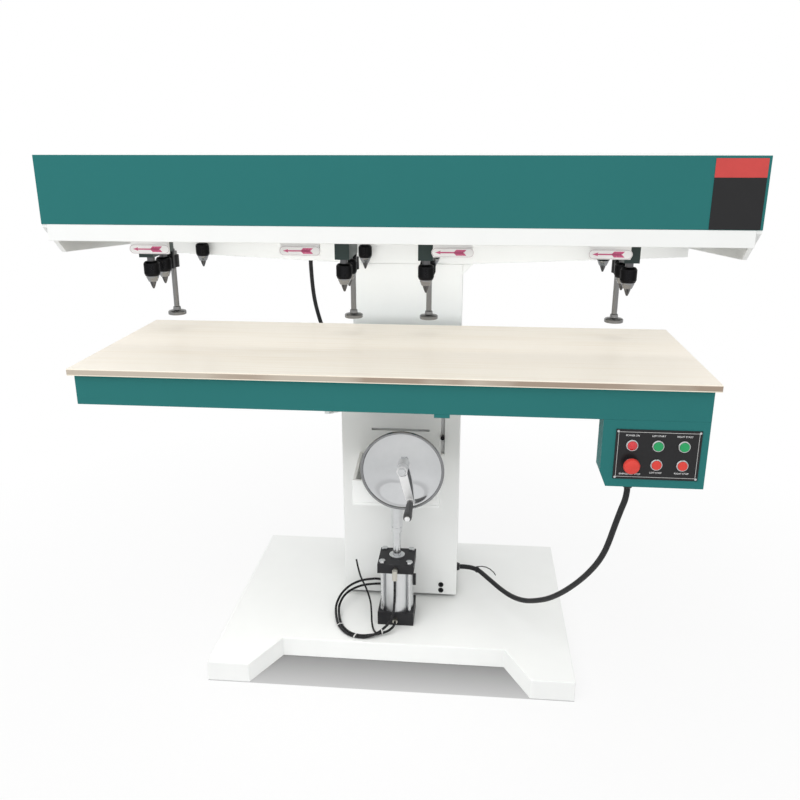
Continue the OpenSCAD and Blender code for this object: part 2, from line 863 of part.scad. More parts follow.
// Push-in fittings on the cylinder, bulkhead fittings behind it, and the glands of the column's cable
module line_fittings() {
    color(steel) {
        bar_y(0, low_fitting_z, fitting_y, cap_front_y, fitting_d);
        bar_y(0, top_fitting_z, fitting_y, cap_front_y, fitting_d);
        bar_z(0, elbow_y, top_fitting_z - elbow_l, top_fitting_z + fitting_d / 2, fitting_d);
        for (p = bulkheads)
            bar_z(p[0], p[1], base_h, bulkhead_top_z, hose_d + 2 * bulkhead_wall);
    }
    color(black) {
        difference() {
            bar_z(arm_gland[0], arm_gland[1], arm_gland_z, arm_end_z, motor_cable_d + 2 * gland_wall);
            along_y(column_front_y, column_back_y)
                arm_outline();
        }
        translate([-column_w / 2 - grommet_t, arm_gland[1], column_gland_z])
            rotate([0, 90, 0])
                cylinder(h = grommet_t, d1 = motor_cable_d + 2 * gland_wall, d2 = gland_d);
    }
}

module air_hoses() {
    color(black) {
        route_tube(upper_hose_route, hose_d, 8);
        route_tube(lower_hose_route, hose_d, 8);
        route_tube(spare_hose_route, hose_d * 0.75, 8);
    }
}

module motor_cable() {
    color(black)
        route_tube(motor_cable_route, motor_cable_d);
}

// Front plate with the shaft bore, the pointer slot and the hand slit above the wheel
module saddle_front_plate() {
    slot_top_z = pointer_z + slot_rise;
    slot_low_z = pointer_z - stop_travel - slot_w / 2 - 4;
    difference() {
        block(
            [-saddle_w / 2, saddle_front_y, saddle_low_z],
            [saddle_w / 2, saddle_front_y + saddle_t, saddle_top_z - saddle_t - weld_gap]
        );
        bar_y(wheel_x, wheel_z, saddle_front_y - 1, saddle_front_y + saddle_t + 1, shaft_d + 2 * shaft_gap);
        block(
            [slot_x - slot_w / 2, saddle_front_y - 1, slot_low_z],
            [slot_x + slot_w / 2, saddle_front_y + saddle_t + 1, slot_top_z]
        );
        block(
            [-slit_w / 2, saddle_front_y - 1, slit_z],
            [slit_w / 2, saddle_front_y + saddle_t + 1, slit_z + slit_h]
        );
    }
}

// Saddle that carries the table: plates, guide blocks and the bearings of the depth stop
module saddle() {
    inner_front_y = saddle_front_y + saddle_t;
    color(white_paint) {
        saddle_front_plate();
        block(
            [-saddle_w / 2, saddle_front_y, saddle_top_z - saddle_t],
            [saddle_w / 2, saddle_back_y, saddle_top_z]
        );
        for (side = [-1, 1]) {
            outer = side * saddle_w / 2;
            inner = side * saddle_inner_x;
            flange = side * back_flange_x;
            edge = inner - side * weld_gap;
            block(
                [min(outer, inner), inner_front_y + weld_gap, saddle_low_z],
                [max(outer, inner), saddle_back_y, saddle_top_z - saddle_t - weld_gap]
            );
            block(
                [min(edge, flange), saddle_back_y - saddle_t, saddle_low_z],
                [max(edge, flange), saddle_back_y, saddle_top_z - saddle_t - weld_gap]
            );
        }
    }
    color(steel) {
        for (x = [-lift_rail_x, lift_rail_x], z = [low_block_z, top_block_z])
            translate([x, column_front_y, z])
                linear_extrude(lift_block_h)
                    rotate(180)
                        saddle_block_outline();
        difference() {
            bar_y(wheel_x, wheel_z, tube_front_y, saddle_front_y - weld_gap, tube_d);
            bar_y(wheel_x, wheel_z, tube_front_y - 1, saddle_front_y + 1, shaft_d + 2 * shaft_gap);
        }
        difference() {
            block(
                [wheel_x - nut_w / 2 - 6, inner_front_y + weld_gap, screw_bearing_z],
                [wheel_x + nut_w / 2 + 6, bevel_y + nut_w / 2, screw_bearing_z + screw_bearing_t]
            );
            bar_z(
                wheel_x, bevel_y, screw_bearing_z - 1, screw_bearing_z + screw_bearing_t + 1,
                screw_d + 2 * shaft_gap
            );
        }
    }
}

// A lift block reaches from the rail to the saddle's back flange
module saddle_block_outline() {
    difference() {
        translate([-guide_block_w / 2, block_clear])
            square([guide_block_w, saddle_back_gap - block_clear - weld_gap]);
        translate([-guide_w / 2 - guide_gap, 0])
            square([guide_w + 2 * guide_gap, guide_h + guide_gap]);
    }
}

// Welded bracket in front of the saddle that the piston rod pushes
module crosshead() {
    half = crosshead_w / 2;
    rib_z = crosshead_z + crosshead_t;
    rib_front_y = crosshead_front_y + crosshead_t + weld_gap;
    color(white_paint) {
        block([-half, crosshead_front_y, crosshead_z], [half, saddle_front_y, rib_z]);
        block(
            [-half, crosshead_front_y, rib_z + weld_gap],
            [half, crosshead_front_y + crosshead_t, rib_z + crosshead_rib_h]
        );
        for (x = [-half, -crosshead_t / 2, half - crosshead_t])
            along_x(x, x + crosshead_t)
                polygon([
                    [rib_front_y, rib_z + weld_gap], [saddle_front_y, rib_z + weld_gap],
                    [saddle_front_y, rib_z + crosshead_rib_h + rib_rise], [rib_front_y, rib_z + crosshead_rib_h]
                ]);
    }
}

// Piston, rod and the coupling under the crosshead
module piston_rod() {
    color(steel) {
        bar_z(0, cylinder_y, piston_z, piston_z + piston_h, cylinder_bore - 2 * slide_gap);
        bar_z(0, cylinder_y, piston_z + piston_h, coupling_z, rod_d);
        difference() {
            union() {
                bar_z(0, cylinder_y, coupling_z, coupling_z + 16, coupling_d);
                translate([0, cylinder_y, coupling_z + 16])
                    cylinder(h = crosshead_z - 12 - coupling_z - 16, d = coupling_d * 1.06, $fn = 6);
                bar_z(0, cylinder_y, crosshead_z - 12, crosshead_z, coupling_d * 1.5);
            }
        }
    }
}

// Apron sheets, bearers and the two brackets that reach forward from the saddle
module table_frame() {
    inner_front_y = apron_front_y + apron_t;
    inner_back_y = apron_back_y - apron_t;
    seam_front_y = inner_front_y + weld_gap;
    seam_back_y = inner_back_y - weld_gap;
    bracket_top_z = apron_low_z - weld_gap;
    bracket_tip_y = inner_front_y + bracket_t;
    color(teal_paint) {
        block([apron_x[0], apron_front_y, apron_low_z], [apron_x[1], inner_front_y, board_low_z]);
        block([apron_x[0], inner_back_y, apron_low_z], [apron_x[1], apron_back_y, board_low_z]);
        for (x = [apron_x[0], apron_x[1] - apron_t])
            block([x, seam_front_y, apron_low_z], [x + apron_t, seam_back_y, board_low_z]);
        for (x = [-bearer_x, bearer_x]) {
            for (z = [apron_low_z, board_low_z - bearer_wall])
                block([x - bearer_w / 2, seam_front_y, z], [x + bearer_w / 2, seam_back_y, z + bearer_wall]);
            for (side_x = [x - bearer_w / 2, x + bearer_w / 2 - bearer_wall])
                block(
                    [side_x, seam_front_y, apron_low_z + bearer_wall + weld_gap],
                    [side_x + bearer_wall, seam_back_y, board_low_z - bearer_wall - weld_gap]
                );
        }
    }
    color(white_paint)
        for (x = [-bearer_x, bearer_x])
            along_x(x - bracket_t / 2, x + bracket_t / 2)
                polygon([
                    [saddle_front_y, bracket_top_z - bracket_h], [saddle_front_y, bracket_top_z],
                    [bracket_tip_y, bracket_top_z], [bracket_tip_y, bracket_top_z - bracket_t]
                ]);
}

module table_board() {
    color(birch)
        block(
            [board_x[0], table_front_y, board_low_z],
            [board_x[1], table_front_y + board_d, table_z]
        );
}

// Holes for the six control devices
module device_holes(y0, y1) {
    for (p = button_places)
        bar_y(p[0], p[1], y0, y1, bezel_hole_d);
}

module control_box() {
    color(teal_paint)
        difference() {
            along_y(apron_front_y, apron_front_y + box_d)
                polygon([
                    [box_left_x, apron_low_z], [box_left_x, box_low_z + box_chamfer_h],
                    [box_left_x + box_chamfer_w, box_low_z], [box_right_x, box_low_z],
                    [box_right_x, apron_low_z]
                ]);
            device_holes(apron_front_y - 1, bezel_front_y + button_l + button_room);
        }
}

module control_plate() {
    color(black)
        difference() {
            block(
                [box_mid_x - plate_w / 2, plate_front_y, plate_z - plate_h / 2],
                [box_mid_x + plate_w / 2, apron_front_y, plate_z + plate_h / 2]
            );
            device_holes(plate_front_y - 1, apron_front_y + 1);
        }
}

module panel_bezels() {
    color(steel)
        for (p = button_places)
            turned_y(p[0], p[1])
                polygon([
                    [bezel_hole_d / 2, plate_front_y], [bezel_d / 2, plate_front_y],
                    [bezel_d / 2, bezel_front_y + 2], [bezel_d / 2 - 1.5, bezel_front_y],
                    [bezel_hole_d / 2, bezel_front_y]
                ]);
}

// A cap with a rounded edge that slides in its bezel
module push_button(place) {
    front_y = bezel_front_y - button_out;
    turned_y(place[0], place[1])
        polygon([
            [0, front_y], [button_d / 2 - 1.5, front_y], [button_d / 2, front_y + 1.5],
            [button_d / 2, bezel_front_y + button_l], [0, bezel_front_y + button_l]
        ]);
}

module pilot_lamp() {
    place = button_places[0];
    back_y = bezel_front_y + button_l + button_room - 1;
    color(red)
        turned_y(place[0], place[1])
            polygon([
                [0, plate_front_y - lamp_out], [button_d * 0.25, plate_front_y - lamp_out + 0.8],
                [button_d * 0.42, plate_front_y - lamp_out + 3], [button_d / 2, bezel_front_y - 1],
                [button_d / 2, back_y], [0, back_y]
            ]);
}

module left_start_button() {
    color(green)
        push_button(button_places[1]);
}

module right_start_button() {
    color(green)
        push_button(button_places[2]);
}

module left_stop_button() {
    color(red)
        push_button(button_places[4]);
}

module right_stop_button() {
    color(red)
        push_button(button_places[5]);
}

module emergency_stop() {
    place = button_places[3];
    front_y = plate_front_y - estop_out;
    back_y = front_y + estop_head_h;
    color(red)
        turned_y(place[0], place[1])
            polygon([
                [0, front_y], [estop_d * 0.3, front_y + 1], [estop_d * 0.44, front_y + 4],
                [estop_d / 2, front_y + 9], [estop_d / 2, back_y - 2], [estop_d / 2 - 2, back_y],
                [button_d / 2, back_y], [button_d / 2, bezel_front_y + button_l], [0, bezel_front_y + button_l]
            ]);
}

// Gland under the control box and grommets where the two cables enter the frame
module cable_glands() {
    color(black) {
        translate([box_gland[0], box_gland[1], box_low_z - gland_l])
            rotate_extrude()
                polygon([
                    [0, 0], [control_cable_d / 2 + gland_wall, 0], [gland_d / 2 - 2, gland_nut_h - 2],
                    [gland_d / 2 - 2, gland_nut_h], [gland_d / 2, gland_nut_h],
                    [gland_d / 2, gland_l], [0, gland_l]
                ]);
        translate([saddle_w / 2, grommet[0], grommet[1]])
            rotate([0, 90, 0])
                cylinder(h = grommet_t, d1 = gland_d, d2 = control_cable_d + 2 * gland_wall);
    }
}

module control_cable() {
    color(black)
        route_tube(control_cable_route, control_cable_d);
}

// Outline of the dished wheel from its hub to its rim, as radius and place along Y
module wheel_outline() {
    rim_in = wheel_d / 2 - rim_d;
    rim_out = wheel_d / 2;
    rim_front_y = wheel_y - rim_d / 2;
    rim_back_y = wheel_y + rim_d / 2;
    rim_c = rim_d * 0.3;
    web_y = wheel_y + dish_d;
    bend_y = wheel_y + dish_d * 0.55;
    polygon([
        [hub_d / 2, web_y], [rim_in * 0.5, web_y], [rim_in * 0.8, bend_y], [rim_in, wheel_y - wheel_web_t / 2],
        [rim_in, rim_front_y + rim_c], [rim_in + rim_c, rim_front_y], [rim_out - rim_c, rim_front_y],
        [rim_out, rim_front_y + rim_c], [rim_out, rim_back_y - rim_c], [rim_out - rim_c, rim_back_y],
        [rim_in + rim_c, rim_back_y], [rim_in, rim_back_y - rim_c], [rim_in, wheel_y + wheel_web_t / 2],
        [rim_in * 0.8, bend_y + wheel_web_t], [rim_in * 0.5, web_y + wheel_web_t],
        [hub_d / 2, web_y + wheel_web_t]
    ]);
}

// Dished wheel, and its hub with a crank arm and the pin of the grip
module handwheel() {
    arm_back_y = hub_front_y + crank_t;
    pin_front_y = grip_front_y - slide_gap;
    color(steel) {
        turned_y(wheel_x, wheel_z)
            wheel_outline();
        difference() {
            union() {
                bar_y(wheel_x, wheel_z, hub_front_y, hub_back_y, hub_d);
                translate([wheel_x, 0, wheel_z])
                    rotate([0, -handle_angle, 0])
                        along_y(hub_front_y, arm_back_y)
                            polygon([
                                [-crank_w / 2, -hub_d / 2 + 4], [crank_w / 2, -hub_d / 2 + 4],
                                [crank_w / 2 - 2, -handle_r], [2 - crank_w / 2, -handle_r]
                            ]);
                bar_y(handle_x, handle_z, seat_front_y, wheel_y + 1, seat_d);
                bar_y(handle_x, handle_z, pin_front_y, seat_front_y + 1, grip_pin_d);
                bar_y(handle_x, handle_z, pin_front_y - 4, pin_front_y, grip_pin_d + 6);
            }
            bar_y(wheel_x, wheel_z, hub_front_y - 1, hub_back_y + 1, shaft_d);
        }
    }
}

// Shaft with the hexagon nut on its end and the bevel gear inside the saddle
module handwheel_shaft() {
    color(steel) {
        bar_y(wheel_x, wheel_z, hub_front_y, bevel_y - bevel_r, shaft_d);
        translate([wheel_x, hub_front_y - nut_h, wheel_z])
            rotate([-90, 0, 0])
                cylinder(h = nut_h, d = shaft_d * 1.3, $fn = 6);
        turned_y(wheel_x, wheel_z)
            polygon([
                [0, bevel_y - bevel_r], [bevel_r - bevel_gap, bevel_y - bevel_r],
                [bevel_r - bevel_face - bevel_gap, bevel_y - bevel_r + bevel_face],
                [0, bevel_y - bevel_r + bevel_face]
            ]);
    }
}

// Turned grip that spins on its pin
module handle_grip() {
    hole_r = grip_pin_d / 2 + shaft_gap;
    color(black)
        turned_y(handle_x, handle_z)
            polygon([
                [hole_r, grip_back_y], [grip_d * 0.34, grip_back_y], [grip_d * 0.4, grip_back_y - grip_l * 0.1],
                [grip_d * 0.42, grip_back_y - grip_l * 0.4], [grip_d / 2, grip_front_y + grip_l * 0.18],
                [grip_d * 0.48, grip_front_y + grip_l * 0.06], [grip_d * 0.38, grip_front_y],
                [hole_r, grip_front_y]
            ]);
}

// Upright screw with its bevel gear
module depth_screw() {
    gear_top_z = wheel_z + bevel_r;
    color(steel) {
        bar_z(wheel_x, bevel_y, gear_top_z, screw_top_z, screw_d);
        translate([wheel_x, bevel_y, 0])
            rotate_extrude()
                polygon([
                    [0, gear_top_z - bevel_face], [bevel_r - bevel_face - bevel_gap, gear_top_z - bevel_face],
                    [bevel_r - bevel_gap, gear_top_z], [0, gear_top_z]
                ]);
    }
}

// Nut with an arm that carries the pointer through the saddle's slot
module stop_nut() {
    arm_y = bevel_y - arm_bar / 2;
    knob_y = saddle_front_y - pointer_out;
    color(steel)
        difference() {
            union() {
                block(
                    [wheel_x - nut_w / 2, bevel_y - nut_w / 2, nut_low_z],
                    [wheel_x + nut_w / 2, bevel_y + nut_w / 2, nut_top_z]
                );
                block(
                    [wheel_x + nut_w / 2 - 1, arm_y, nut_low_z],
                    [slot_x + arm_bar / 2, arm_y + arm_bar, nut_low_z + arm_bar]
                );
                block(
                    [slot_x - arm_bar / 2, arm_y, pointer_z - arm_bar / 2],
                    [slot_x + arm_bar / 2, arm_y + arm_bar, nut_low_z + 1]
                );
                bar_y(slot_x, pointer_z, knob_y, arm_y + 1, pointer_d);
                bar_y(slot_x, pointer_z, knob_y - pointer_knob_t, knob_y, pointer_knob_d);
            }
            bar_z(wheel_x, bevel_y, nut_low_z - 1, nut_top_z + 1, screw_d + 2 * slide_gap);
        }
}

// Carriage plate of a head, with its front plate, the tag's tab and two guide blocks
module head_carriage(i) {
    x = head_x[i];
    tag_x = x + tag_dx[i];
    low_x = min(x - carriage_w / 2, tag_x - tag_w / 2);
    high_x = max(x + carriage_w / 2, tag_x + tag_w / 2);
    color(white_paint) {
        block(
            [x - carriage_w / 2, front_plate_back_y + weld_gap, carriage_z],
            [x + carriage_w / 2, carriage_back_y, carriage_top_z]
        );
        block([low_x, front_plate_y, rail_low_z], [high_x, front_plate_back_y, carriage_top_z]);
        block(
            [tag_x - tag_w / 2, front_plate_y, tag_low_z],
            [tag_x + tag_w / 2, front_plate_back_y, rail_low_z - weld_gap]
        );
    }
    color(steel) {
        along_x(x - guide_block_l / 2, x + guide_block_l / 2)
            translate([rail_back_y, front_guide_z])
                rotate(-90)
                    front_block_outline();
        along_x(x - guide_block_l / 2, x + guide_block_l / 2)
            translate([rear_guide_y, arm_top_z])
                guide_block_outline();
    }
}

// The front block reaches back to the carriage's front plate
module front_block_outline() {
    difference() {
        translate([-guide_block_w / 2, block_clear])
            square([guide_block_w, front_plate_y - rail_back_y - block_clear - weld_gap]);
        translate([-guide_w / 2 - guide_gap, 0])
            square([guide_w + 2 * guide_gap, guide_h + guide_gap]);
    }
}

// A totally enclosed motor standing on the carriage
module motor(x, y, d) {
    top_z = carriage_top_z + motor_h;
    translate([x, y, 0])
        rotate_extrude()
            polygon([
                [0, carriage_top_z], [d / 2 + 4, carriage_top_z], [d / 2 + 4, carriage_top_z + motor_flange_t],
                [d / 2 - 4, carriage_top_z + motor_flange_t], [d / 2 - 4, top_z - 40], [d / 2, top_z - 38],
                [d / 2, top_z - 6], [d / 2 - 8, top_z], [0, top_z]
            ]);
}

// Spindle case, rear quill, hold-down bracket and both motors of a head
module head_housing(i) {
    x = head_x[i];
    bore = spindle_d + 2 * shaft_gap;
    case_front_y = front_spindle_y - case_end;
    color(green_paint) {
        difference() {
            block([x - case_w / 2, case_front_y, case_low_z], [x + case_w / 2, hold_plate_y, carriage_z]);
            for (y = [front_spindle_y, middle_spindle_y])
                bar_z(x, y, case_low_z - 1, spindle_top_z + slide_gap, bore);
        }
        difference() {
            bar_z(x, rear_spindle_y, case_low_z, carriage_z, quill_d);
            bar_z(x, rear_spindle_y, case_low_z - 1, spindle_top_z + slide_gap, bore);
        }
        motor(x, (front_spindle_y + middle_spindle_y) / 2, motor_d);
        motor(x, rear_spindle_y, rear_motor_d);
    }
    color(black)
        difference() {
            union() {
                block(
                    [x - 16, hold_plate_y + weld_gap, hold_low_z],
                    [x + 16, hold_plate_y + hold_plate_t, hold_plate_top_z]
                );
                block(
                    [x - 12, hold_plate_y + hold_plate_t - 1, hold_low_z],
                    [x + 12, hold_down_y, hold_low_z + hold_guide_h]
                );
                bar_z(x, hold_down_y, hold_low_z, hold_low_z + hold_guide_h, hold_guide_d);
            }
            bar_z(
                x, hold_down_y, hold_low_z - 1, hold_low_z + hold_guide_h + 1,
                hold_rod_d + 2 * shaft_gap
            );
        }
}

// Rod with its stop collar and the round foot
module head_hold_down(i) {
    collar_z = hold_low_z + hold_guide_h + slide_gap;
    hub_z = foot_z + foot_t;
    color(steel)
        translate([head_x[i], hold_down_y, 0])
            rotate_extrude()
                polygon([
                    [0, foot_z], [foot_d / 2 - 1, foot_z], [foot_d / 2, foot_z + 1], [foot_d / 2, hub_z - 2],
                    [foot_d / 2 - 2, hub_z], [hold_rod_d / 2 + 4, hub_z + 3], [hold_rod_d / 2 + 3, hub_z + 12],
                    [hold_rod_d / 2, hub_z + 14], [hold_rod_d / 2, collar_z], [hold_rod_d / 2 + 5, collar_z],
                    [hold_rod_d / 2 + 5, collar_z + collar_h], [hold_rod_d / 2, collar_z + collar_h],
                    [hold_rod_d / 2, collar_z + collar_h + 6], [0, collar_z + collar_h + 6]
                ]);
}

// Spindle with its drill chuck: shaft, knurled sleeve, and the nose with three closed jaws
module head_spindle(i, y) {
    nose_z = sleeve_low_z - nose_l * 0.45;
    translate([head_x[i], y, 0]) {
        color(steel) {
            bar_z(0, 0, sleeve_top_z, case_low_z - slide_gap, spindle_d * 1.2);
            bar_z(0, 0, case_low_z - slide_gap, spindle_top_z, spindle_d);
        }
        color(black)
            rotate_extrude()
                polygon([
                    [0, sleeve_low_z], [chuck_d / 2 - 3, sleeve_low_z], [chuck_d / 2, sleeve_low_z + 4],
                    [chuck_d / 2, sleeve_top_z - 5], [chuck_d / 2 - 6, sleeve_top_z], [0, sleeve_top_z]
                ]);
        color(steel)
            difference() {
                rotate_extrude()
                    polygon([
                        [0, chuck_tip_z], [2.5, chuck_tip_z], [chuck_d * 0.2, nose_z - 3],
                        [chuck_d * 0.2, nose_z], [chuck_d * 0.27, nose_z], [chuck_d * 0.39, sleeve_low_z - 5],
                        [chuck_d * 0.39, sleeve_low_z], [0, sleeve_low_z]
                    ]);
                for (turn = [0, 120, 240])
                    rotate(turn)
                        block([0, -jaw_slit / 2, chuck_tip_z - 1], [chuck_d, jaw_slit / 2, nose_z - 1]);
            }
    }
}

base();
column();
cross_arm();
beam_cheeks();
beam_cover();
front_cover();
front_rail();
guide_bars();
lift_rails();
cylinder_caps();
cylinder_barrel();
tie_rods();
line_fittings();
air_hoses();
motor_cable();
saddle();
crosshead();
piston_rod();
table_frame();
table_board();
control_box();
control_plate();
panel_bezels();
pilot_lamp();
cable_glands();
control_cable();
left_start_button();
right_start_button();
left_stop_button();
right_stop_button();
emergency_stop();
handwheel();
handwheel_shaft();
handle_grip();
depth_screw();
stop_nut();
head_carriage(0);  // head_1_carriage
head_housing(0);  // head_1_housing
head_hold_down(0);  // head_1_hold_down
head_spindle(0, front_spindle_y);  // head_1_front_spindle
head_spindle(0, middle_spindle_y);  // head_1_middle_spindle
head_spindle(0, rear_spindle_y);  // head_1_rear_spindle
head_carriage(1);  // head_2_carriage
head_housing(1);  // head_2_housing
head_hold_down(1);  // head_2_hold_down
head_spindle(1, front_spindle_y);  // head_2_front_spindle
head_spindle(1, middle_spindle_y);  // head_2_middle_spindle
head_spindle(1, rear_spindle_y);  // head_2_rear_spindle
head_carriage(2);  // head_3_carriage
head_housing(2);  // head_3_housing
head_hold_down(2);  // head_3_hold_down
head_spindle(2, front_spindle_y);  // head_3_front_spindle
head_spindle(2, middle_spindle_y);  // head_3_middle_spindle
head_spindle(2, rear_spindle_y);  // head_3_rear_spindle
head_carriage(3);  // head_4_carriage
head_housing(3);  // head_4_housing
head_hold_down(3);  // head_4_hold_down
head_spindle(3, front_spindle_y);  // head_4_front_spindle
head_spindle(3, middle_spindle_y);  // head_4_middle_spindle
head_spindle(3, rear_spindle_y);  // head_4_rear_spindle
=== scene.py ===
import json
import math

import bmesh
import bpy
from mathutils import Matrix, Vector


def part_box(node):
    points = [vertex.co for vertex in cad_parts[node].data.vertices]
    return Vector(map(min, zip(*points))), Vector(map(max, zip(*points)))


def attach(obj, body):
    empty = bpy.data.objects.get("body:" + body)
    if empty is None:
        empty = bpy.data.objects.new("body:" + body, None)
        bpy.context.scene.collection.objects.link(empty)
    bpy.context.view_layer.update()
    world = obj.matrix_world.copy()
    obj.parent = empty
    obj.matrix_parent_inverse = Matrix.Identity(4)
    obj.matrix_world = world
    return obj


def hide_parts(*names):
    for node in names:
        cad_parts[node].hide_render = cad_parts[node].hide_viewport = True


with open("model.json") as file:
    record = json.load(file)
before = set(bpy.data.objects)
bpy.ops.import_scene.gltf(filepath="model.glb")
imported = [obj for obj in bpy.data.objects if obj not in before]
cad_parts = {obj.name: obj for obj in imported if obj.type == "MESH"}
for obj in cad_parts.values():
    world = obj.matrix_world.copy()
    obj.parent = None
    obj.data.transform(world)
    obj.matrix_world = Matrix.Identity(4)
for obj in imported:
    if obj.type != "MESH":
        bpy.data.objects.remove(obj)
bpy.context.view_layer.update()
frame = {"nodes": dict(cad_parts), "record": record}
nodes = frame["nodes"]
record = frame["record"]
behaviour = record["behaviour"]
bodyOf = {node: body for body, group in behaviour["bodies"].items() for node in group}
slotOf = {part["node"]: part["material_slot"] for part in record["subparts"]}
pivotOf = {joint["child"]: joint["pos_m"] for joint in behaviour["joints"] if "pos_m" in joint}
mm = 0.001
scene = bpy.context.scene
scene.view_settings.view_transform = "Standard"
print("frame loaded:", len(nodes), "nodes")


def placed(name, data):
    made = bpy.data.objects.new(name, data)
    scene.collection.objects.link(made)
    return made


# The turn that points a camera or a lamp along a direction
def lookAlong(direction):
    return Vector(direction).to_track_quat("-Z", "Y").to_euler()


# Camera fitted to the photograph
cameraView = {
    "place": (0.2168, -2.3163, 1.5343), "forward": (-0.0868, 0.9486, -0.3042),
    "lens": 35.73, "sensor": 36, "farClip": 60,
}


def addCamera(view):
    camera = placed("photoCamera", bpy.data.cameras.new("photoCamera"))
    camera.data.lens = view["lens"]
    camera.data.sensor_width = view["sensor"]
    camera.data.clip_end = view["farClip"]
    camera.location = view["place"]
    camera.rotation_euler = lookAlong(view["forward"])
    scene.camera = camera


addCamera(cameraView)


# A wire is a socket that does arithmetic
class Wire:
    def __init__(self, owner, socket):
        self.owner = owner
        self.socket = socket

    def maths(self, operation, first, second):
        return self.owner.node("ShaderNodeMath", {"operation": operation}, {0: first, 1: second})

    def __add__(self, other):
        return self.maths("ADD", self, other)

    def __radd__(self, other):
        return self.maths("ADD", other, self)

    def __sub__(self, other):
        return self.maths("SUBTRACT", self, other)

    def __rsub__(self, other):
        return self.maths("SUBTRACT", other, self)

    def __mul__(self, other):
        return self.maths("MULTIPLY", self, other)

    def __rmul__(self, other):
        return self.maths("MULTIPLY", other, self)

    def __gt__(self, other):
        return self.maths("GREATER_THAN", self, other)

    def __lt__(self, other):
        return self.maths("LESS_THAN", self, other)


def setStops(ramp, stops):
    while len(ramp.elements) < len(stops):
        ramp.elements.new(0.5)
    for element, (place, colour) in zip(ramp.elements, stops):
        element.position = place
        element.color = rgba(colour)


# A node tree of any kind; its nodes all come from one method
class Tree:
    def __init__(self, tree):
        self.tree = tree

    def node(self, kind, settings=None, sockets=None, out=0):
        made = self.tree.nodes.new(kind)
        for key, value in (settings or {}).items():
            if key == "stops":
                setStops(made.color_ramp, value)
            else:
                setattr(made, key, value)
        for key, value in (sockets or {}).items():
            if isinstance(value, Wire):
                self.tree.links.new(value.socket, made.inputs[key])
            else:
                made.inputs[key].default_value = value
        return Wire(self, made.outputs[out])

    def end(self, kind, wire):
        self.tree.links.new(wire.socket, self.tree.nodes.new(kind).inputs[0])


class Finish(Tree):
    def __init__(self, name):
        self.material = bpy.data.materials.new(name)
        self.material.use_nodes = True
        super().__init__(self.material.node_tree)
        self.tree.nodes.clear()
        self.coords = None

    def place(self, scale=(1, 1, 1)):
        if self.coords is None:
            self.coords = self.node("ShaderNodeTexCoord", out="Object")
        if scale == (1, 1, 1):
            return self.coords
        return self.node("ShaderNodeMapping", {}, {"Vector": self.coords, "Scale": scale})

    def noise(self, scale, detail, stretch=(1, 1, 1)):
        sockets = {"Vector": self.place(stretch), "Scale": scale, "Detail": detail}
        return self.node("ShaderNodeTexNoise", {}, sockets)

    def mix(self, factor, first, second):
        sockets = {"Factor": factor, 6: first, 7: second}  # 6 and 7 are colours
        return self.node("ShaderNodeMix", {"data_type": "RGBA"}, sockets, out=2)

    def ramp(self, factor, stops):
        return self.node("ShaderNodeValToRGB", {"stops": stops}, {"Fac": factor})

    def bump(self, height, strength, distance):
        sockets = {"Height": height, "Strength": strength, "Distance": distance}
        return self.node("ShaderNodeBump", {}, sockets)

    def axis(self, letter):
        return self.node("ShaderNodeSeparateXYZ", {}, {"Vector": self.place()}, out=letter)

    def principled(self, sockets):
        self.end("ShaderNodeOutputMaterial", self.node("ShaderNodeBsdfPrincipled", {}, sockets))
        return self.material


def rgba(colour):
    return (*colour, 1)


# The darkest and the lightest tone of a colour, as multiples of it
def tones(colour, spread):
    return [rgba([min(1, c * factor) for c in colour]) for factor in spread]


# Enamels: noise scales are per metre, and depth is that of the bumps in metres
paints = {
    "whiteEnamel": {"colour": (0.82, 0.83, 0.82), "roughness": 0.34, "peel": 0.05, "gloss": 0.32},
    "tealEnamel": {"colour": (0.0225, 0.157, 0.153), "roughness": 0.5, "peel": 0.05, "gloss": 0.1},
    "darkGreenEnamel": {"colour": (0.032, 0.050, 0.047), "roughness": 0.42, "peel": 0.08, "gloss": 0.25},
    "blackAnodised": {"colour": (0.016, 0.016, 0.018), "roughness": 0.42, "peel": 0.03, "gloss": 0.25},
}
film = {"cloud": 2.2, "grain": 420, "smear": 14, "sag": (1, 1, 0.3), "spread": (0.94, 1.04), "depth": 0.0004}


def paintFinish(name, settings):
    f = Finish(name)
    cloud = f.noise(film["cloud"], 2)
    grain = f.noise(film["grain"], 2)
    smear = f.noise(film["smear"], 4, film["sag"])
    return f.principled({
        "Base Color": f.mix(cloud * 0.6 + smear * 0.4, *tones(settings["colour"], film["spread"])),
        "Roughness": settings["roughness"] - 0.05 + smear * 0.12,
        "Normal": f.bump(grain, settings["peel"], film["depth"]),
        "Specular IOR Level": settings["gloss"],
    })


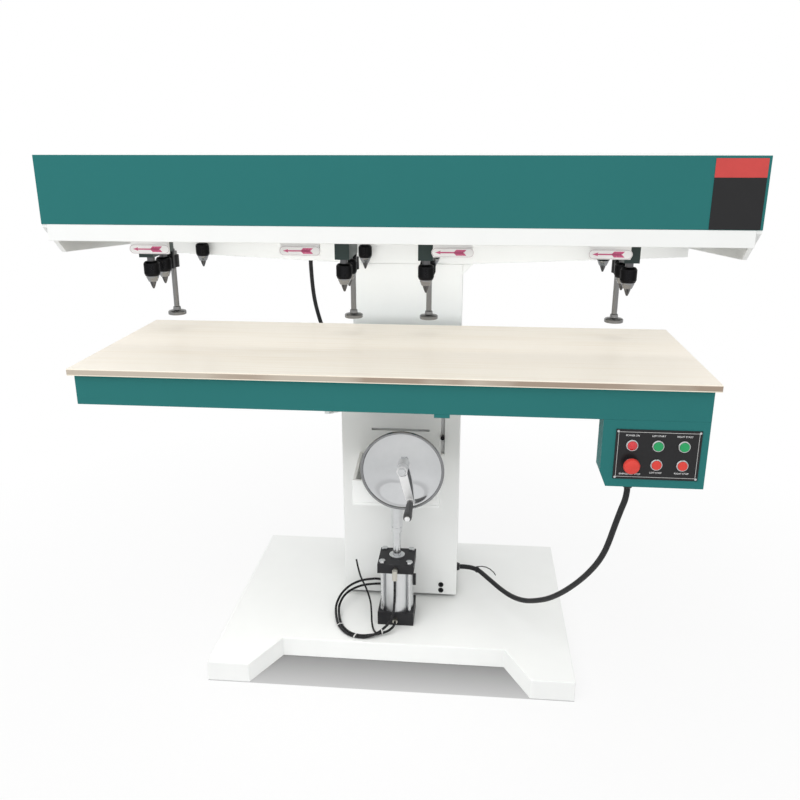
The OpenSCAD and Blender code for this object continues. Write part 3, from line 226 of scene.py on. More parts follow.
metals = {
    "groundSteel": {"colour": (0.55, 0.56, 0.57), "roughness": 0.30, "stretch": (6, 6, 300)},
    "brightSteel": {"colour": (0.66, 0.67, 0.68), "roughness": 0.20, "stretch": (40, 40, 160)},
    "chuckSteel": {"colour": (0.32, 0.325, 0.335), "roughness": 0.26, "stretch": (40, 40, 160)},
    "neckSteel": {"colour": (0.15, 0.15, 0.155), "roughness": 0.34, "stretch": (40, 40, 160)},
    "rodSteel": {"colour": (0.27, 0.27, 0.27), "roughness": 0.32, "stretch": (6, 6, 300)},
    "blackOxide": {"colour": (0.022, 0.022, 0.024), "roughness": 0.40, "stretch": (60, 60, 60)},
    "polishedChrome": {"colour": (0.62, 0.63, 0.64), "roughness": 0.07, "stretch": (9, 9, 9)},
    "satinChrome": {"colour": (0.97, 0.97, 0.97), "roughness": 0.45, "stretch": (30, 30, 30)},
    "darkChrome": {"colour": (0.27, 0.273, 0.28), "roughness": 0.13, "stretch": (30, 30, 30)},
    "barrelAluminium": {"colour": (0.70, 0.71, 0.72), "roughness": 0.33, "stretch": (220, 220, 3)},
    "fittingBrass": {"colour": (0.60, 0.58, 0.52), "roughness": 0.28, "stretch": (40, 40, 40)},
}
machining = {"spots": 60, "spread": (0.86, 1.08), "bump": 0.04, "depth": 0.0003}


def metalFinish(name, settings):
    f = Finish(name)
    streak = f.noise(1.0, 3, settings["stretch"])
    spots = f.noise(machining["spots"], 2)
    return f.principled({
        "Base Color": f.mix(streak * 0.7 + spots * 0.3, *tones(settings["colour"], machining["spread"])),
        "Metallic": 1.0,
        "Roughness": settings["roughness"] - 0.03 + streak * 0.08,
        "Normal": f.bump(streak, machining["bump"], machining["depth"]),
    })


plastics = {
    "blackPlastic": {"colour": (0.018, 0.018, 0.020), "roughness": 0.45, "grain": 0.10},
    "panelBlack": {"colour": (0.014, 0.014, 0.015), "roughness": 0.30, "grain": 0.02},
    "redPlastic": {"colour": (0.66, 0.055, 0.042), "roughness": 0.28, "grain": 0.02},
    "greenPlastic": {"colour": (0.022, 0.32, 0.11), "roughness": 0.28, "grain": 0.02},
    "legendWhite": {"colour": (0.80, 0.80, 0.80), "roughness": 0.40, "grain": 0.02},
    "arrowPink": {"colour": (0.62, 0.12, 0.25), "roughness": 0.40, "grain": 0.02},
    # tag white also paints the tab behind each tag lighter than the enamel, as painted light
    "tagWhite": {"colour": (0.96, 0.95, 0.95), "roughness": 0.30, "grain": 0.02},
    "tagEdge": {"colour": (0.50, 0.43, 0.45), "roughness": 0.40, "grain": 0.02},
    "gripPlastic": {"colour": (0.040, 0.040, 0.042), "roughness": 0.42, "grain": 0.05},
    "slotGrey": {"colour": (0.66, 0.66, 0.66), "roughness": 0.50, "grain": 0.02},
    "plateRed": {"colour": (0.55, 0.06, 0.055), "roughness": 0.38, "grain": 0.02},
    "tieWhite": {"colour": (0.55, 0.55, 0.54), "roughness": 0.40, "grain": 0.02},
}
moulding = {"cloud": 30, "grain": 900, "spread": (0.90, 1.08), "depth": 0.0003, "gloss": 0.28}


def plasticFinish(name, settings):
    f = Finish(name)
    grain = f.noise(moulding["grain"], 2)
    cloud = f.noise(moulding["cloud"], 2)
    return f.principled({
        "Base Color": f.mix(cloud, *tones(settings["colour"], moulding["spread"])),
        "Roughness": settings["roughness"] - 0.04 + grain * 0.08,
        "Normal": f.bump(grain, settings["grain"], moulding["depth"]),
        "Specular IOR Level": moulding["gloss"],
    })


sheaths = {
    "cableSheath": {"colour": (0.014, 0.014, 0.015), "roughness": 0.46},
    "hoseSheath": {"colour": (0.010, 0.010, 0.011), "roughness": 0.26},
}
rubbing = {"scuff": 70, "fine": 700, "spread": (0.8, 1.6), "bump": 0.06, "depth": 0.0003, "gloss": 0.24}


def sheathFinish(name, settings):
    f = Finish(name)
    scuff = f.noise(rubbing["scuff"], 4)
    fine = f.noise(rubbing["fine"], 2)
    return f.principled({
        "Base Color": f.mix(scuff, *tones(settings["colour"], rubbing["spread"])),
        "Roughness": settings["roughness"] - 0.06 + scuff * 0.16,
        "Normal": f.bump(fine, rubbing["bump"], rubbing["depth"]),
        "Specular IOR Level": rubbing["gloss"],
    })


birch = {
    "pale": (0.92, 0.86, 0.76), "streak": (0.86, 0.78, 0.65),
    "core": (0.48, 0.42, 0.345), "coreDark": (0.325, 0.25, 0.19),
    "coreDrift": 0.12,  # how much darker the strips get for each metre to the right
    "roughness": 0.42, "coat": 0.1, "bump": 0.05, "depth": 0.0004,
    "skin": 0.0026, "topSkin": 0.0012,
    "grain": (2.4, 95, 95), "board": (1.1, 7, 7), "fleck": (30, 420, 420), "strip": (7, 7, 0.5),
}


# Blockboard: a pale veneer on both faces, and core strips of mixed tone on the edges
def birchFinish(name, settings):
    f = Finish(name)
    low, high = (corner[2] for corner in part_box("table_board"))
    pale, streak, skin = (settings[key] for key in ("pale", "streak", "skin"))
    grain = f.noise(1.0, 5, settings["grain"])
    board = f.noise(1.0, 1, settings["board"])
    fleck = f.noise(1.0, 2, settings["fleck"])
    strip = f.noise(1.0, 1, settings["strip"])
    figure = grain * 0.6 + board * 0.3 + fleck * 0.1
    face = f.ramp(figure, [(0.30, streak), (0.52, pale), (0.75, pale)])
    tone = strip * 0.9 + fleck * 0.1 + f.axis("X") * settings["coreDrift"]
    core = f.ramp(tone, [(0.42, settings["core"]), (0.62, settings["coreDark"])])
    height = f.axis("Z")
    veneer = (height > (high - skin)) + (height < (low + skin))
    edge = f.mix(veneer, core, rgba(streak))
    return f.principled({
        "Base Color": f.mix(height > (high - settings["topSkin"]), edge, face),
        "Roughness": settings["roughness"] + fleck * 0.12,
        "Normal": f.bump(grain, settings["bump"], settings["depth"]),
        "Coat Weight": settings["coat"],
    })


lampGlass = {
    "bright": (0.72, 0.02, 0.03), "deep": (0.45, 0.01, 0.015), "facets": 420.0,
    "roughness": 0.12, "bump": 0.15, "depth": 0.0004, "coat": 0.6,
}


def lampFinish(name, settings):
    f = Finish(name)
    facet = f.node("ShaderNodeTexVoronoi", {}, {"Vector": f.place(), "Scale": settings["facets"]})
    return f.principled({
        "Base Color": f.mix(facet, rgba(settings["bright"]), rgba(settings["deep"])),
        "Roughness": settings["roughness"] + facet * 0.1,
        "Normal": f.bump(facet, settings["bump"], settings["depth"]),
        "Coat Weight": settings["coat"],
    })


finishes = {}
families = ((paints, paintFinish), (metals, metalFinish), (plastics, plasticFinish), (sheaths, sheathFinish))
for family, maker in families:
    for name, settings in family.items():
        finishes[name] = maker(name, settings)
finishes["birchBoard"] = birchFinish("birchBoard", birch)
finishes["lampRed"] = lampFinish("lampRed", lampGlass)
print("finishes made:", len(finishes))

# Mesh helpers
softAngle = 32  # degrees between faces, above which an edge stays sharp or is bevelled
flatAngle = 0.4  # degrees between the triangles of one flat face
mergeGap = 2e-6  # metres
tiny = 1e-6


def newObject(name, data, materials, body, slot=None, replaces=()):
    piece = placed(name, data)
    for key in materials:
        data.materials.append(finishes[key])
    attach(piece, body)
    if replaces:
        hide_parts(*replaces)
    return piece


def meshFrom(bm, name):
    mesh = bpy.data.meshes.new(name)
    bm.to_mesh(mesh)
    bm.free()
    return mesh


# The finished shape of a maker object as a plain mesh; the maker is removed
def plainMesh(maker):
    ready = maker.evaluated_get(bpy.context.evaluated_depsgraph_get())
    mesh = bpy.data.meshes.new_from_object(ready)
    bpy.data.objects.remove(maker)
    return mesh


def softenEdges(bm, angle=softAngle):
    for face in bm.faces:
        face.smooth = True
    for edge in bm.edges:
        if len(edge.link_faces) == 2:
            edge.smooth = edge.calc_face_angle(0) < math.radians(angle)


def addBevel(piece, width, segments=2):
    bevel = piece.modifiers.new("edge", "BEVEL")
    bevel.width = width * mm
    bevel.segments = segments
    bevel.limit_method = "ANGLE"
    bevel.angle_limit = math.radians(softAngle)
    bevel.harden_normals = True


# The solids of a merged mesh, each as a list of faces
def islands(bm):
    left = set(bm.faces)
    while left:
        stack = [left.pop()]
        island = set(stack)
        while stack:
            face = stack.pop()
            for edge in face.edges:
                for other in edge.link_faces:
                    if other in left:
                        left.discard(other)
                        island.add(other)
                        stack.append(other)
        yield list(island)


def islandBox(island):
    points = [v.co for face in island for v in face.verts]
    low = Vector(min(p[i] for p in points) for i in range(3)) / mm
    high = Vector(max(p[i] for p in points) for i in range(3)) / mm
    return low, high


# A copy of a CAD node's loose triangles, joined up
def merged(node):
    bm = bmesh.new()
    bm.from_mesh(nodes[node].data)
    bmesh.ops.remove_doubles(bm, verts=bm.verts, dist=mergeGap)
    return bm


def solidBoxes(node):
    bm = merged(node)
    boxes = [islandBox(island) for island in islands(bm)]
    bm.free()
    return boxes


# A copy of a CAD node with soft edges; pick is its finish, or a function that names one for each solid's box
def dressed(node, pick, bevel):
    bm = merged(node)
    bmesh.ops.dissolve_limit(bm, angle_limit=math.radians(flatAngle), verts=bm.verts, edges=bm.edges)
    used = []
    for island in islands(bm):
        key = pick if isinstance(pick, str) else pick(*islandBox(island))
        if key not in used:
            used.append(key)
        for face in island:
            face.material_index = used.index(key)
    softenEdges(bm)
    name = node + "_dressed"
    piece = newObject(name, meshFrom(bm, name), used, bodyOf[node], slotOf[node], [node])
    if bevel:
        addBevel(piece, bevel)


# Looks give each node its finish, or its pick, and the width of its bevels in millimetres
def dressAll(looks):
    for node, (pick, bevel) in looks.items():
        dressed(node, pick, bevel)


# Turns a profile of (radius, height) in millimetres about the Z axis, all round or through an arc
def lathe(bm, profile, segments, index=0, centre=(0, 0, 0), turn=None, arc=(0, math.tau)):
    turn = turn or Matrix.Identity(4)
    shift = Matrix.Translation(Vector(centre) * mm) @ turn
    first, last = arc
    closed = abs(last - first - math.tau) < tiny
    count = segments if closed else segments + 1
    rings = []
    for radius, height in profile:
        if radius < tiny:
            rings.append([bm.verts.new(shift @ Vector((0, 0, height * mm)))])
            continue
        ring = []
        for k in range(count):
            a = first + (last - first) * k / segments
            corner = Vector((radius * math.cos(a), radius * math.sin(a), height)) * mm
            ring.append(bm.verts.new(shift @ corner))
        rings.append(ring)
    made = []
    for lower, upper in zip(rings, rings[1:]):
        for k in range(segments):
            n = (k + 1) % count
            if len(lower) == 1 and len(upper) == 1:
                continue
            if len(lower) == 1:
                corners = [lower[0], upper[n], upper[k]]
            elif len(upper) == 1:
                corners = [lower[k], lower[n], upper[0]]
            else:
                corners = [lower[k], lower[n], upper[n], upper[k]]
            made.append(bm.faces.new(corners))
    if not closed:
        for k in (0, count - 1):
            made.append(bm.faces.new([ring[0] if len(ring) == 1 else ring[k] for ring in rings]))
    for face in made:
        face.material_index = index
    bmesh.ops.recalc_face_normals(bm, faces=made)


def joinMesh(bm, mesh, index):
    start = len(bm.faces)
    bm.from_mesh(mesh)
    bm.faces.ensure_lookup_table()
    for face in bm.faces[start:]:
        face.material_index = index


# A box between two corners in millimetres
def addBox(bm, low, high, index=0):
    low, high = Vector(low), Vector(high)
    shape = Matrix.Translation((low + high) / 2 * mm) @ Matrix.Diagonal((*((high - low) * mm), 1))
    made = bmesh.ops.create_cube(bm, size=1, matrix=shape)
    for face in {f for v in made["verts"] for f in v.link_faces}:
        face.material_index = index


# A slab whose outline is drawn in X and Z
def slabFrom(bm, outline, x, z, front, back, index):
    def ring(y):
        return [bm.verts.new(Vector((x + px, y, z + pz)) * mm) for px, pz in outline]

    a, b = ring(front), ring(back)
    faces = [bm.faces.new(a), bm.faces.new(list(reversed(b)))]
    for k in range(len(a)):
        n = (k + 1) % len(a)
        faces.append(bm.faces.new((a[k], b[k], b[n], a[n])))
    for face in faces:
        face.material_index = index


# Cables and hoses, on the routes of the solids in millimetres
controlCable = {
    "name": "controlCable", "node": "control_cable", "finish": "cableSheath", "diameter": 16,
    "far": "object", "stiffness": "stiff", "lay": "hanging",
    "route": [
        (621, -425, 713.7), (621, -425, 699.7), (618.9, -421.7, 675.7), (613.5, -413.3, 645.7),
        (607.6, -404.1, 611.8), (601.7, -394.9, 575.8), (595.9, -385.7, 539.8), (588.9, -374.8, 503.8),
        (578.2, -358.1, 463.8), (564.3, -336.3, 423.9), (547.2, -309.5, 381.9), (525.8, -276, 335.9),
        (500.2, -235.9, 286.9), (471.3, -190.7, 239.9), (440.8, -143, 201), (408.7, -92.8, 168),
        (375.6, -40.9, 147), (341.9, 11.8, 139), (308.2, 64.5, 139), (272.4, 120.6, 140),
        (257.2, 137.4, 140), (237.4, 148.2, 140), (215.1, 152, 140), (200.3, 152, 140),
    ],
}
motorCable = {
    "name": "motorCable", "node": "motor_cable", "finish": "cableSheath", "diameter": 14,
    "far": "object", "stiffness": "stiff", "lay": "hanging",
    "route": [
        (-338, 386, 1163.7), (-338, 386, 1145), (-336, 386, 1100), (-333, 386, 1060), (-328, 386, 1022),
        (-320, 386, 984), (-309, 386, 944), (-296, 386, 903), (-282, 386, 862), (-270, 386, 826),
        (-257, 386, 802.5), (-235, 386, 786.5), (-208.5, 386, 781), (-194.3, 386, 781),
    ],
}
upperHose = {
    "name": "upperHose", "node": "air_hoses", "finish": "hoseSheath", "diameter": 8,
    "far": "object", "stiffness": "medium", "lay": "loose",
    "route": [
        (0, -128.5, 239.7), (0, -128.5, 217.7), (0, -129.5, 189.7), (-1, -132.5, 160), (-4, -137.5, 130),
        (-12, -150, 106), (-28, -166, 92), (-50, -181, 80), (-76, -190, 72), (-100, -192, 69),
        (-128, -187, 69), (-156, -168, 69), (-180, -134, 70), (-196, -90, 76), (-202, -45, 90),
        (-190, -5, 108), (-164, 22, 124), (-130, 38, 134), (-94, 46, 137.5), (-74, 49, 137),
        (-54, 50, 134), (-36, 50, 129.2), (-22.8, 50, 116), (-18, 50, 98), (-18, 50, 82.3),
    ],
}
lowerHose = {
    "name": "lowerHose", "node": "air_hoses", "finish": "hoseSheath", "diameter": 8,
    "far": "object", "stiffness": "medium", "lay": "loose",
    "route": [
        (0, -124.8, 86), (0, -134, 86), (-5.4, -154, 84.5), (-20, -168.6, 80), (-40, -174, 75),
        (-64, -177.5, 71), (-97, -182, 69), (-123, -177.5, 69), (-149, -160.5, 69), (-171.5, -129, 70),
        (-186.5, -87, 76), (-192, -46.5, 88), (-181.5, -10, 102), (-158, 14, 113), (-126.5, 28.5, 121),
        (-94, 32, 126), (-62, 34, 128), (-28, 34, 126), (-11, 34, 121.4), (1.4, 34, 109), (6, 34, 92),
        (6, 34, 82.3),
    ],
}
spareHose = {
    "name": "spareHose", "node": "air_hoses", "finish": "hoseSheath", "diameter": 6,
    "far": "bare", "stiffness": "stiff", "lay": "loose",
    "route": [
        (-52, -175.7, 73), (-66, -150, 71), (-74, -126, 82), (-78, -104, 104), (-84, -84, 134),
        (-100, -64, 168), (-118, -50, 198), (-128, -42, 228), (-134, -38, 256),
    ],
}
cordMesh = {"stepsPerSpan": 8, "roundness": 4}


# A smooth line through the route's points, in metres
def smoothRoute(route, steps):
    points = [Vector(p) * mm for p in route]
    padded = [points[0] * 2 - points[1]] + points + [points[-1] * 2 - points[-2]]
    line = []
    for a, b, c, d in zip(padded, padded[1:], padded[2:], padded[3:]):
        for k in range(steps):
            t = k / steps
            bend, twist = 2 * a - 5 * b + 4 * c - d, 3 * b - a - 3 * c + d
            line.append(0.5 * (2 * b + (c - a) * t + bend * t * t + twist * t ** 3))
    line.append(points[-1])
    return line


def addCord(facts):
    name, node, diameter = facts["name"], facts["node"], facts["diameter"] * mm
    line = smoothRoute(facts["route"], cordMesh["stepsPerSpan"])
    curve = bpy.data.curves.new(name, "CURVE")
    curve.dimensions = "3D"
    curve.bevel_depth = diameter / 2
    curve.bevel_resolution = cordMesh["roundness"]
    curve.use_fill_caps = True
    spline = curve.splines.new("POLY")
    spline.points.add(len(line) - 1)
    for point, place in zip(spline.points, line):
        point.co = (*place, 1)
    piece = newObject(name, curve, [facts["finish"]], bodyOf[node], slotOf[node], [node])
    length = sum((b - a).length for a, b in zip(line, line[1:]))
    tuple(line[0])
    return line


cordLines = {}
for facts in (controlCable, motorCable, upperHose, lowerHose, spareHose):
    cordLines[facts["name"]] = addCord(facts)
print("cords laid:", len(cordLines))

# Frame and beam
frameLooks = {
    "base": ("whiteEnamel", 3), "column": ("whiteEnamel", 2), "cross_arm": ("whiteEnamel", 2),
    "beam_cheeks": ("whiteEnamel", 2), "front_rail": ("whiteEnamel", 1.5), "beam_cover": ("whiteEnamel", 0.8),
    "front_cover": ("tealEnamel", 0.8), "guide_bars": ("groundSteel", 0.8),
    "lift_rails": ("groundSteel", 0.8),
}
dressAll(frameLooks)

# Bare two-tone plate on the right end of the front cover
coverPlate = {
    "x": (786, 908), "z": (1341, 1508), "band": 1463, "seam": 0.4, "thick": 1.2, "gap": 0.02, "bevel": 0.4,
}


def addCoverPlate(settings):
    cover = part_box("front_cover")[0][1] / mm
    front, back = cover - settings["thick"], cover - settings["gap"]
    (left, right), (bottom, top), band = settings["x"], settings["z"], settings["band"]
    bm = bmesh.new()
    addBox(bm, (left, front, bottom), (right, back, band), 0)
    addBox(bm, (left, front, band + settings["seam"]), (right, back, top), 1)
    piece = newObject("coverPlate", meshFrom(bm, "coverPlate"), ["panelBlack", "plateRed"], "frame")
    addBevel(piece, settings["bevel"])


addCoverPlate(coverPlate)
print("frame dressed")


# A Geometry Nodes tree; each input has its kind and the value it starts from
class Grower(Tree):
    def __init__(self, name, inputs):
        super().__init__(bpy.data.node_groups.new(name, "GeometryNodeTree"))
        sockets = self.tree.interface
        for label, (kind, value) in inputs.items():
            socket = sockets.new_socket(label, in_out="INPUT", socket_type="NodeSocket" + kind)
            if value is not None:
                socket.default_value = value
        sockets.new_socket("Geometry", in_out="OUTPUT", socket_type="NodeSocketGeometry")
        self.given = self.tree.nodes.new("NodeGroupInput")

    def __getitem__(self, label):
        return Wire(self, self.given.outputs[label])

    def join(self, *shapes):
        joined = self.node("GeometryNodeJoinGeometry")
        for shape in shapes:
            self.tree.links.new(shape.socket, joined.socket.node.inputs[0])
        return joined

    def moved(self, shape, by):
        return self.node("GeometryNodeTransform", {}, {"Geometry": shape, "Translation": by})

    def spread(self, points, shape, turn):
        sockets = {"Points": points, "Instance": shape, "Rotation": turn}
        copies = self.node("GeometryNodeInstanceOnPoints", {}, sockets)
        return self.node("GeometryNodeRealizeInstances", {}, {0: copies})

    def finished(self, shape):
        sockets = {"Geometry": shape, "Material": self["Finish"]}
        self.end("NodeGroupOutput", self.node("GeometryNodeSetMaterial", {}, sockets))
        return self.tree


# Bolt heads on points: a washer, a head and a round tip
boltInputs = {
    "Geometry": ("Geometry", None), "Head Radius": ("Float", 0.006), "Head Height": ("Float", 0.005),
    "Washer Radius": ("Float", 0.009), "Sides": ("Int", 6), "Turn": ("Vector", None),
    "Finish": ("Material", None),
}
boltForm = {"washerSides": 24, "washerDepth": 0.0016, "tipSides": 16, "tipDepth": 0.001, "tipShare": 0.55}


def boltTree(form):
    g = Grower("boltHeads", boltInputs)
    radius, height = g["Head Radius"], g["Head Height"]

    def disc(sides, radius, depth):
        sockets = {"Vertices": sides, "Radius": radius, "Depth": depth}
        return g.node("GeometryNodeMeshCylinder", {}, sockets, out="Mesh")

    def raised(shape, lift):
        return g.moved(shape, g.node("ShaderNodeCombineXYZ", {}, {"Z": lift}))

    washer = disc(form["washerSides"], g["Washer Radius"], form["washerDepth"])
    head = raised(disc(g["Sides"], radius, height), height * 0.5)
    tip = raised(disc(form["tipSides"], radius * form["tipShare"], form["tipDepth"]), height)
    return g.finished(g.spread(g["Geometry"], g.join(washer, head, tip), g["Turn"]))


# Upright ribs in a ring, for the sleeves of the chucks
knurlInputs = {
    "Ribs": ("Int", 40), "Radius": ("Float", 0.022), "Width": ("Float", 0.0016), "Depth": ("Float", 0.0008),
    "Height": ("Float", 0.03), "Centre": ("Vector", None), "Finish": ("Material", None),
}


def knurlTree():
    g = Grower("sleeveKnurl", knurlInputs)
    ring = g.node("GeometryNodeMeshCircle", {}, {"Vertices": g["Ribs"], "Radius": g["Radius"]})
    size = g.node("ShaderNodeCombineXYZ", {}, {"X": g["Depth"], "Y": g["Width"], "Z": g["Height"]})
    rib = g.node("GeometryNodeMeshCube", {}, {"Size": size}, out="Mesh")
    outward = {"Vector": g.node("GeometryNodeInputPosition")}
    turn = g.node("FunctionNodeAlignRotationToVector", {"axis": "X"}, outward)
    return g.finished(g.moved(g.spread(ring, rib, turn), g["Centre"]))


# Runs a node tree on a mesh and gives the result back as a plain mesh
def grown(tree, mesh, settings, name):
    maker = placed(name + "Maker", mesh)
    modifier = maker.modifiers.new("grow", "NODES")
    modifier.node_group = tree
    keys = {item.name: item.identifier for item in tree.interface.items_tree if item.in_out == "INPUT"}
    for label, value in settings.items():
        modifier[keys[label]] = value
    result = plainMesh(maker)
    result.name = name
    return result


bolts = boltTree(boltForm)
knurls = knurlTree()
turnFront = (math.pi / 2, 0, 0)  # heads that face the operator


def addBolts(name, places, body, finish, head):
    points = bpy.data.meshes.new(name + "Points")
    points.from_pydata([Vector(p) * mm for p in places], [], [])
    settings = {
        "Head Radius": head["radius"] * mm, "Head Height": head["height"] * mm,
        "Washer Radius": head["washer"] * mm, "Sides": head["sides"],
        "Turn": turnFront, "Finish": finishes[finish],
    }
    bm = bmesh.new()
    bm.from_mesh(grown(bolts, points, settings, name))
    softenEdges(bm)
    newObject(name, meshFrom(bm, name), [finish], body)


# Table and its saddle; limits in millimetres tell the solids of a node apart
tableLimits = {"bracketsReach": 900, "guidesFrom": 280, "bearing": (640, 700)}


# White brackets under blue-green aprons and bearers
def tableFrameFinish(low, high):
    return "whiteEnamel" if low.z < tableLimits["bracketsReach"] else "tealEnamel"


# Steel guide blocks at the back and a steel bearing for the depth screw
def saddleFinish(low, high):
    bottom, top = tableLimits["bearing"]
    steel = low.y > tableLimits["guidesFrom"] or bottom < low.z and high.z < top
    return "groundSteel" if steel else "whiteEnamel"


tableLooks = {
    "table_board": ("birchBoard", 1.2), "table_frame": (tableFrameFinish, 0.6), "saddle": (saddleFinish, 1.2),
    "crosshead": ("whiteEnamel", 1.5), "stop_nut": ("blackOxide", 0.8), "depth_screw": ("groundSteel", 0.6),
    "cable_glands": ("blackPlastic", 0.8),
}
dressAll(tableLooks)

# Two bolt heads, one over the other, low on the front wall of the saddle
saddleBolts = {"x": 138, "heights": (112.5, 91.5), "radius": 7, "height": 6, "washer": 9, "sides": 6}
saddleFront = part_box("crosshead")[1][1] / mm
boltPlaces = [(saddleBolts["x"], saddleFront, z) for z in saddleBolts["heights"]]
addBolts("saddleBolts", boltPlaces, "table", "blackOxide", saddleBolts)

# Plain plates: behind the pointer's slot and the hand slit, beside the barrel and under the front apron
plates = {  # low and high corner, finish, and the node whose body carries it
    "pointerShield": ((126, 84.5, 584), (146, 86, 770), "slotGrey", "stop_nut"),
    "slitShield": ((-100, 84.4, 656), (100, 85.6, 680), "slotGrey", "saddle"),
    "sensorBlock": ((52.6, -57, 183), (61, -45, 219), "blackPlastic", "cylinder_barrel"),
    "apronTab": ((131, -457, 894), (170, -445, 902.9), "tealEnamel", "table_frame"),
}


def addPlates(table):
    for name, (low, high, finish, carrier) in table.items():
        bm = bmesh.new()
        addBox(bm, low, high)
        newObject(name, meshFrom(bm, name), [finish], bodyOf[carrier])


addPlates(plates)
print("table and saddle dressed")

# Air cylinder
glandsLeftOf = -150  # millimetres; the motor cable's black glands are left of the brass fittings


def fittingFinish(low, high):
    return "blackPlastic" if low.x < glandsLeftOf else "fittingBrass"


cylinderLooks = {
    "cylinder_caps": ("blackAnodised", 1.5), "cylinder_barrel": ("barrelAluminium", 0),
    "tie_rods": ("brightSteel", 0.5), "line_fittings": (fittingFinish, 0.6),
    "piston_rod": ("brightSteel", 0.8),
}
dressAll(cylinderLooks)

# Bright ring over the rod's guide on the upper cap
collar = {
    "centre": (0, -51, 0), "inner": 13.3, "outer": 23.55, "low": 280.2, "top": 288.1, "wall": 1.2,
    "segments": 48,
}


def addCollar(settings):
    inner, outer, low, top, wall = (settings[key] for key in ("inner", "outer", "low", "top", "wall"))
    inside = [(inner, top), (outer, top), (outer, low)]
    outside = [(outer + wall, low), (outer + wall, top + wall), (inner, top + wall)]
    bm = bmesh.new()
    lathe(bm, inside + outside + inside[:1], settings["segments"], 0, settings["centre"])
    bmesh.ops.remove_doubles(bm, verts=bm.verts, dist=tiny)
    softenEdges(bm)
    newObject("rodCollar", meshFrom(bm, "rodCollar"), ["brightSteel"], bodyOf["cylinder_caps"])


addCollar(collar)


# Flat strip with four corners to each section; a loop closes on itself
def stripFrom(bm, sections, loop):
    rings = [[bm.verts.new(corner) for corner in section] for section in sections]
    following = rings[1:] + rings[:1] if loop else rings[1:]
    for a, b in zip(rings, following):
        for c in range(4):
            d = (c + 1) % 4
            bm.faces.new((a[c], a[d], b[d], b[c]))
    if not loop:
        bm.faces.new(rings[0])
        bm.faces.new(rings[-1])


# One section of a strip at a place: as wide as across is long and as thick as skin is long
def stripSection(place, across, skin):
    corners = ((-0.5, 0), (0.5, 0), (0.5, 1), (-0.5, 1))
    return [place + across * offset + skin * push for offset, push in corners]


# An oval band round a cord or a pair of them
def addBand(bm, middle, along, side, reach, settings):
    up = along.cross(side).normalized()
    wide, tall = (size + settings["ease"] for size in reach)
    sections = []
    for k in range(settings["segments"]):
        a = math.tau * k / settings["segments"]
        out = side * math.cos(a) * wide + up * math.sin(a) * tall
        skin = out.normalized() * settings["thick"] * mm
        sections.append(stripSection(middle + out * mm, along * settings["wide"] * mm, skin))
    stripFrom(bm, sections, True)


def addTie(name, bm, finish, body):
    bmesh.ops.recalc_face_normals(bm, faces=bm.faces)
    softenEdges(bm)
    newObject(name, meshFrom(bm, name), [finish], body)


# Bands that tie the two hoses of the loop together; a place counts steps along the upper hose
hoseTies = {"places": (52, 78, 96), "thick": 1.1, "wide": 4, "ease": 0.7, "segments": 28}


def addHoseTies(settings):
    bm = bmesh.new()
    upper, radius = cordLines["upperHose"], upperHose["diameter"] / 2
    for k in settings["places"]:
        here = upper[k]
        lower = min(cordLines["lowerHose"], key=lambda p: (p - here).length)
        along = (upper[k + 1] - upper[k - 1]).normalized()
        side = (here - lower).normalized()
        reach = (here - lower).length / 2 / mm
        addBand(bm, (here + lower) / 2, along, side, (reach + radius, radius), settings)
    addTie("hoseTies", bm, "tieWhite", "frame")


addHoseTies(hoseTies)

# Tie on the control cable, with its uncut tail in millimetres from the cable's middle
cableTie = {
    "place": 158, "thick": 1.3, "wide": 4.6, "ease": 0.4, "segments": 32, "tailAcross": (0.25, 0.97, 0),
    "tail": [(-6, 3, 8.6), (4, 4, 10.2), (16, 5, 10.6), (30, 4, 9), (44, 0, 4), (56, -6, -4), (63, -11, -12)],
}


def addCableTie(settings):
    line, radius, k = cordLines["controlCable"], controlCable["diameter"] / 2, settings["place"]
    middle = line[k]
    along = (line[k + 1] - line[k - 1]).normalized()
    bm = bmesh.new()
    addBand(bm, middle, along, along.cross(Vector((0, 0, 1))).normalized(), (radius, radius), settings)
    points = [middle + Vector(p) * mm for p in settings["tail"]]
    across = Vector(settings["tailAcross"]) * settings["wide"] * mm
    sections = []
    for before, point, after in zip(points[:1] + points, points, points[1:] + points[-1:]):
        skin = (after - before).cross(across).normalized() * settings["thick"] * mm
        sections.append(stripSection(point, across, skin))
    stripFrom(bm, sections, False)
    addTie("cableTie", bm, "blackPlastic", bodyOf["control_cable"])


addCableTie(cableTie)
print("air cylinder dressed")

# Handwheel: a dish in a round rim, with a hub, an arm and the grip's pin; heights run away from the operator
wheel = {
    "outer": 125, "rim": 4.4, "rimSteps": 24, "segments": 96,
    "dish": 21, "dishEdge": 4, "dishCurve": 1.3, "dishSteps": 16, "wall": 3,
    "hub": 16, "hubEnds": (-6, 45), "bore": 10.1, "hubSegments": 48,
    "armRoot": 4, "armBack": 1, "armWide": (26, 22),
    "seat": [(0, -10), (12, -10), (12, 1), (0, 1)],
    "pin": [(0, -118.6), (7, -118.6), (8, -117.6), (8, -114.6), (5, -114.6), (5, -9), (0, -9)],
    "pinSegments": 32, "softAngle": 50,
    "finishes": ["polishedChrome", "darkChrome", "satinChrome"],
}


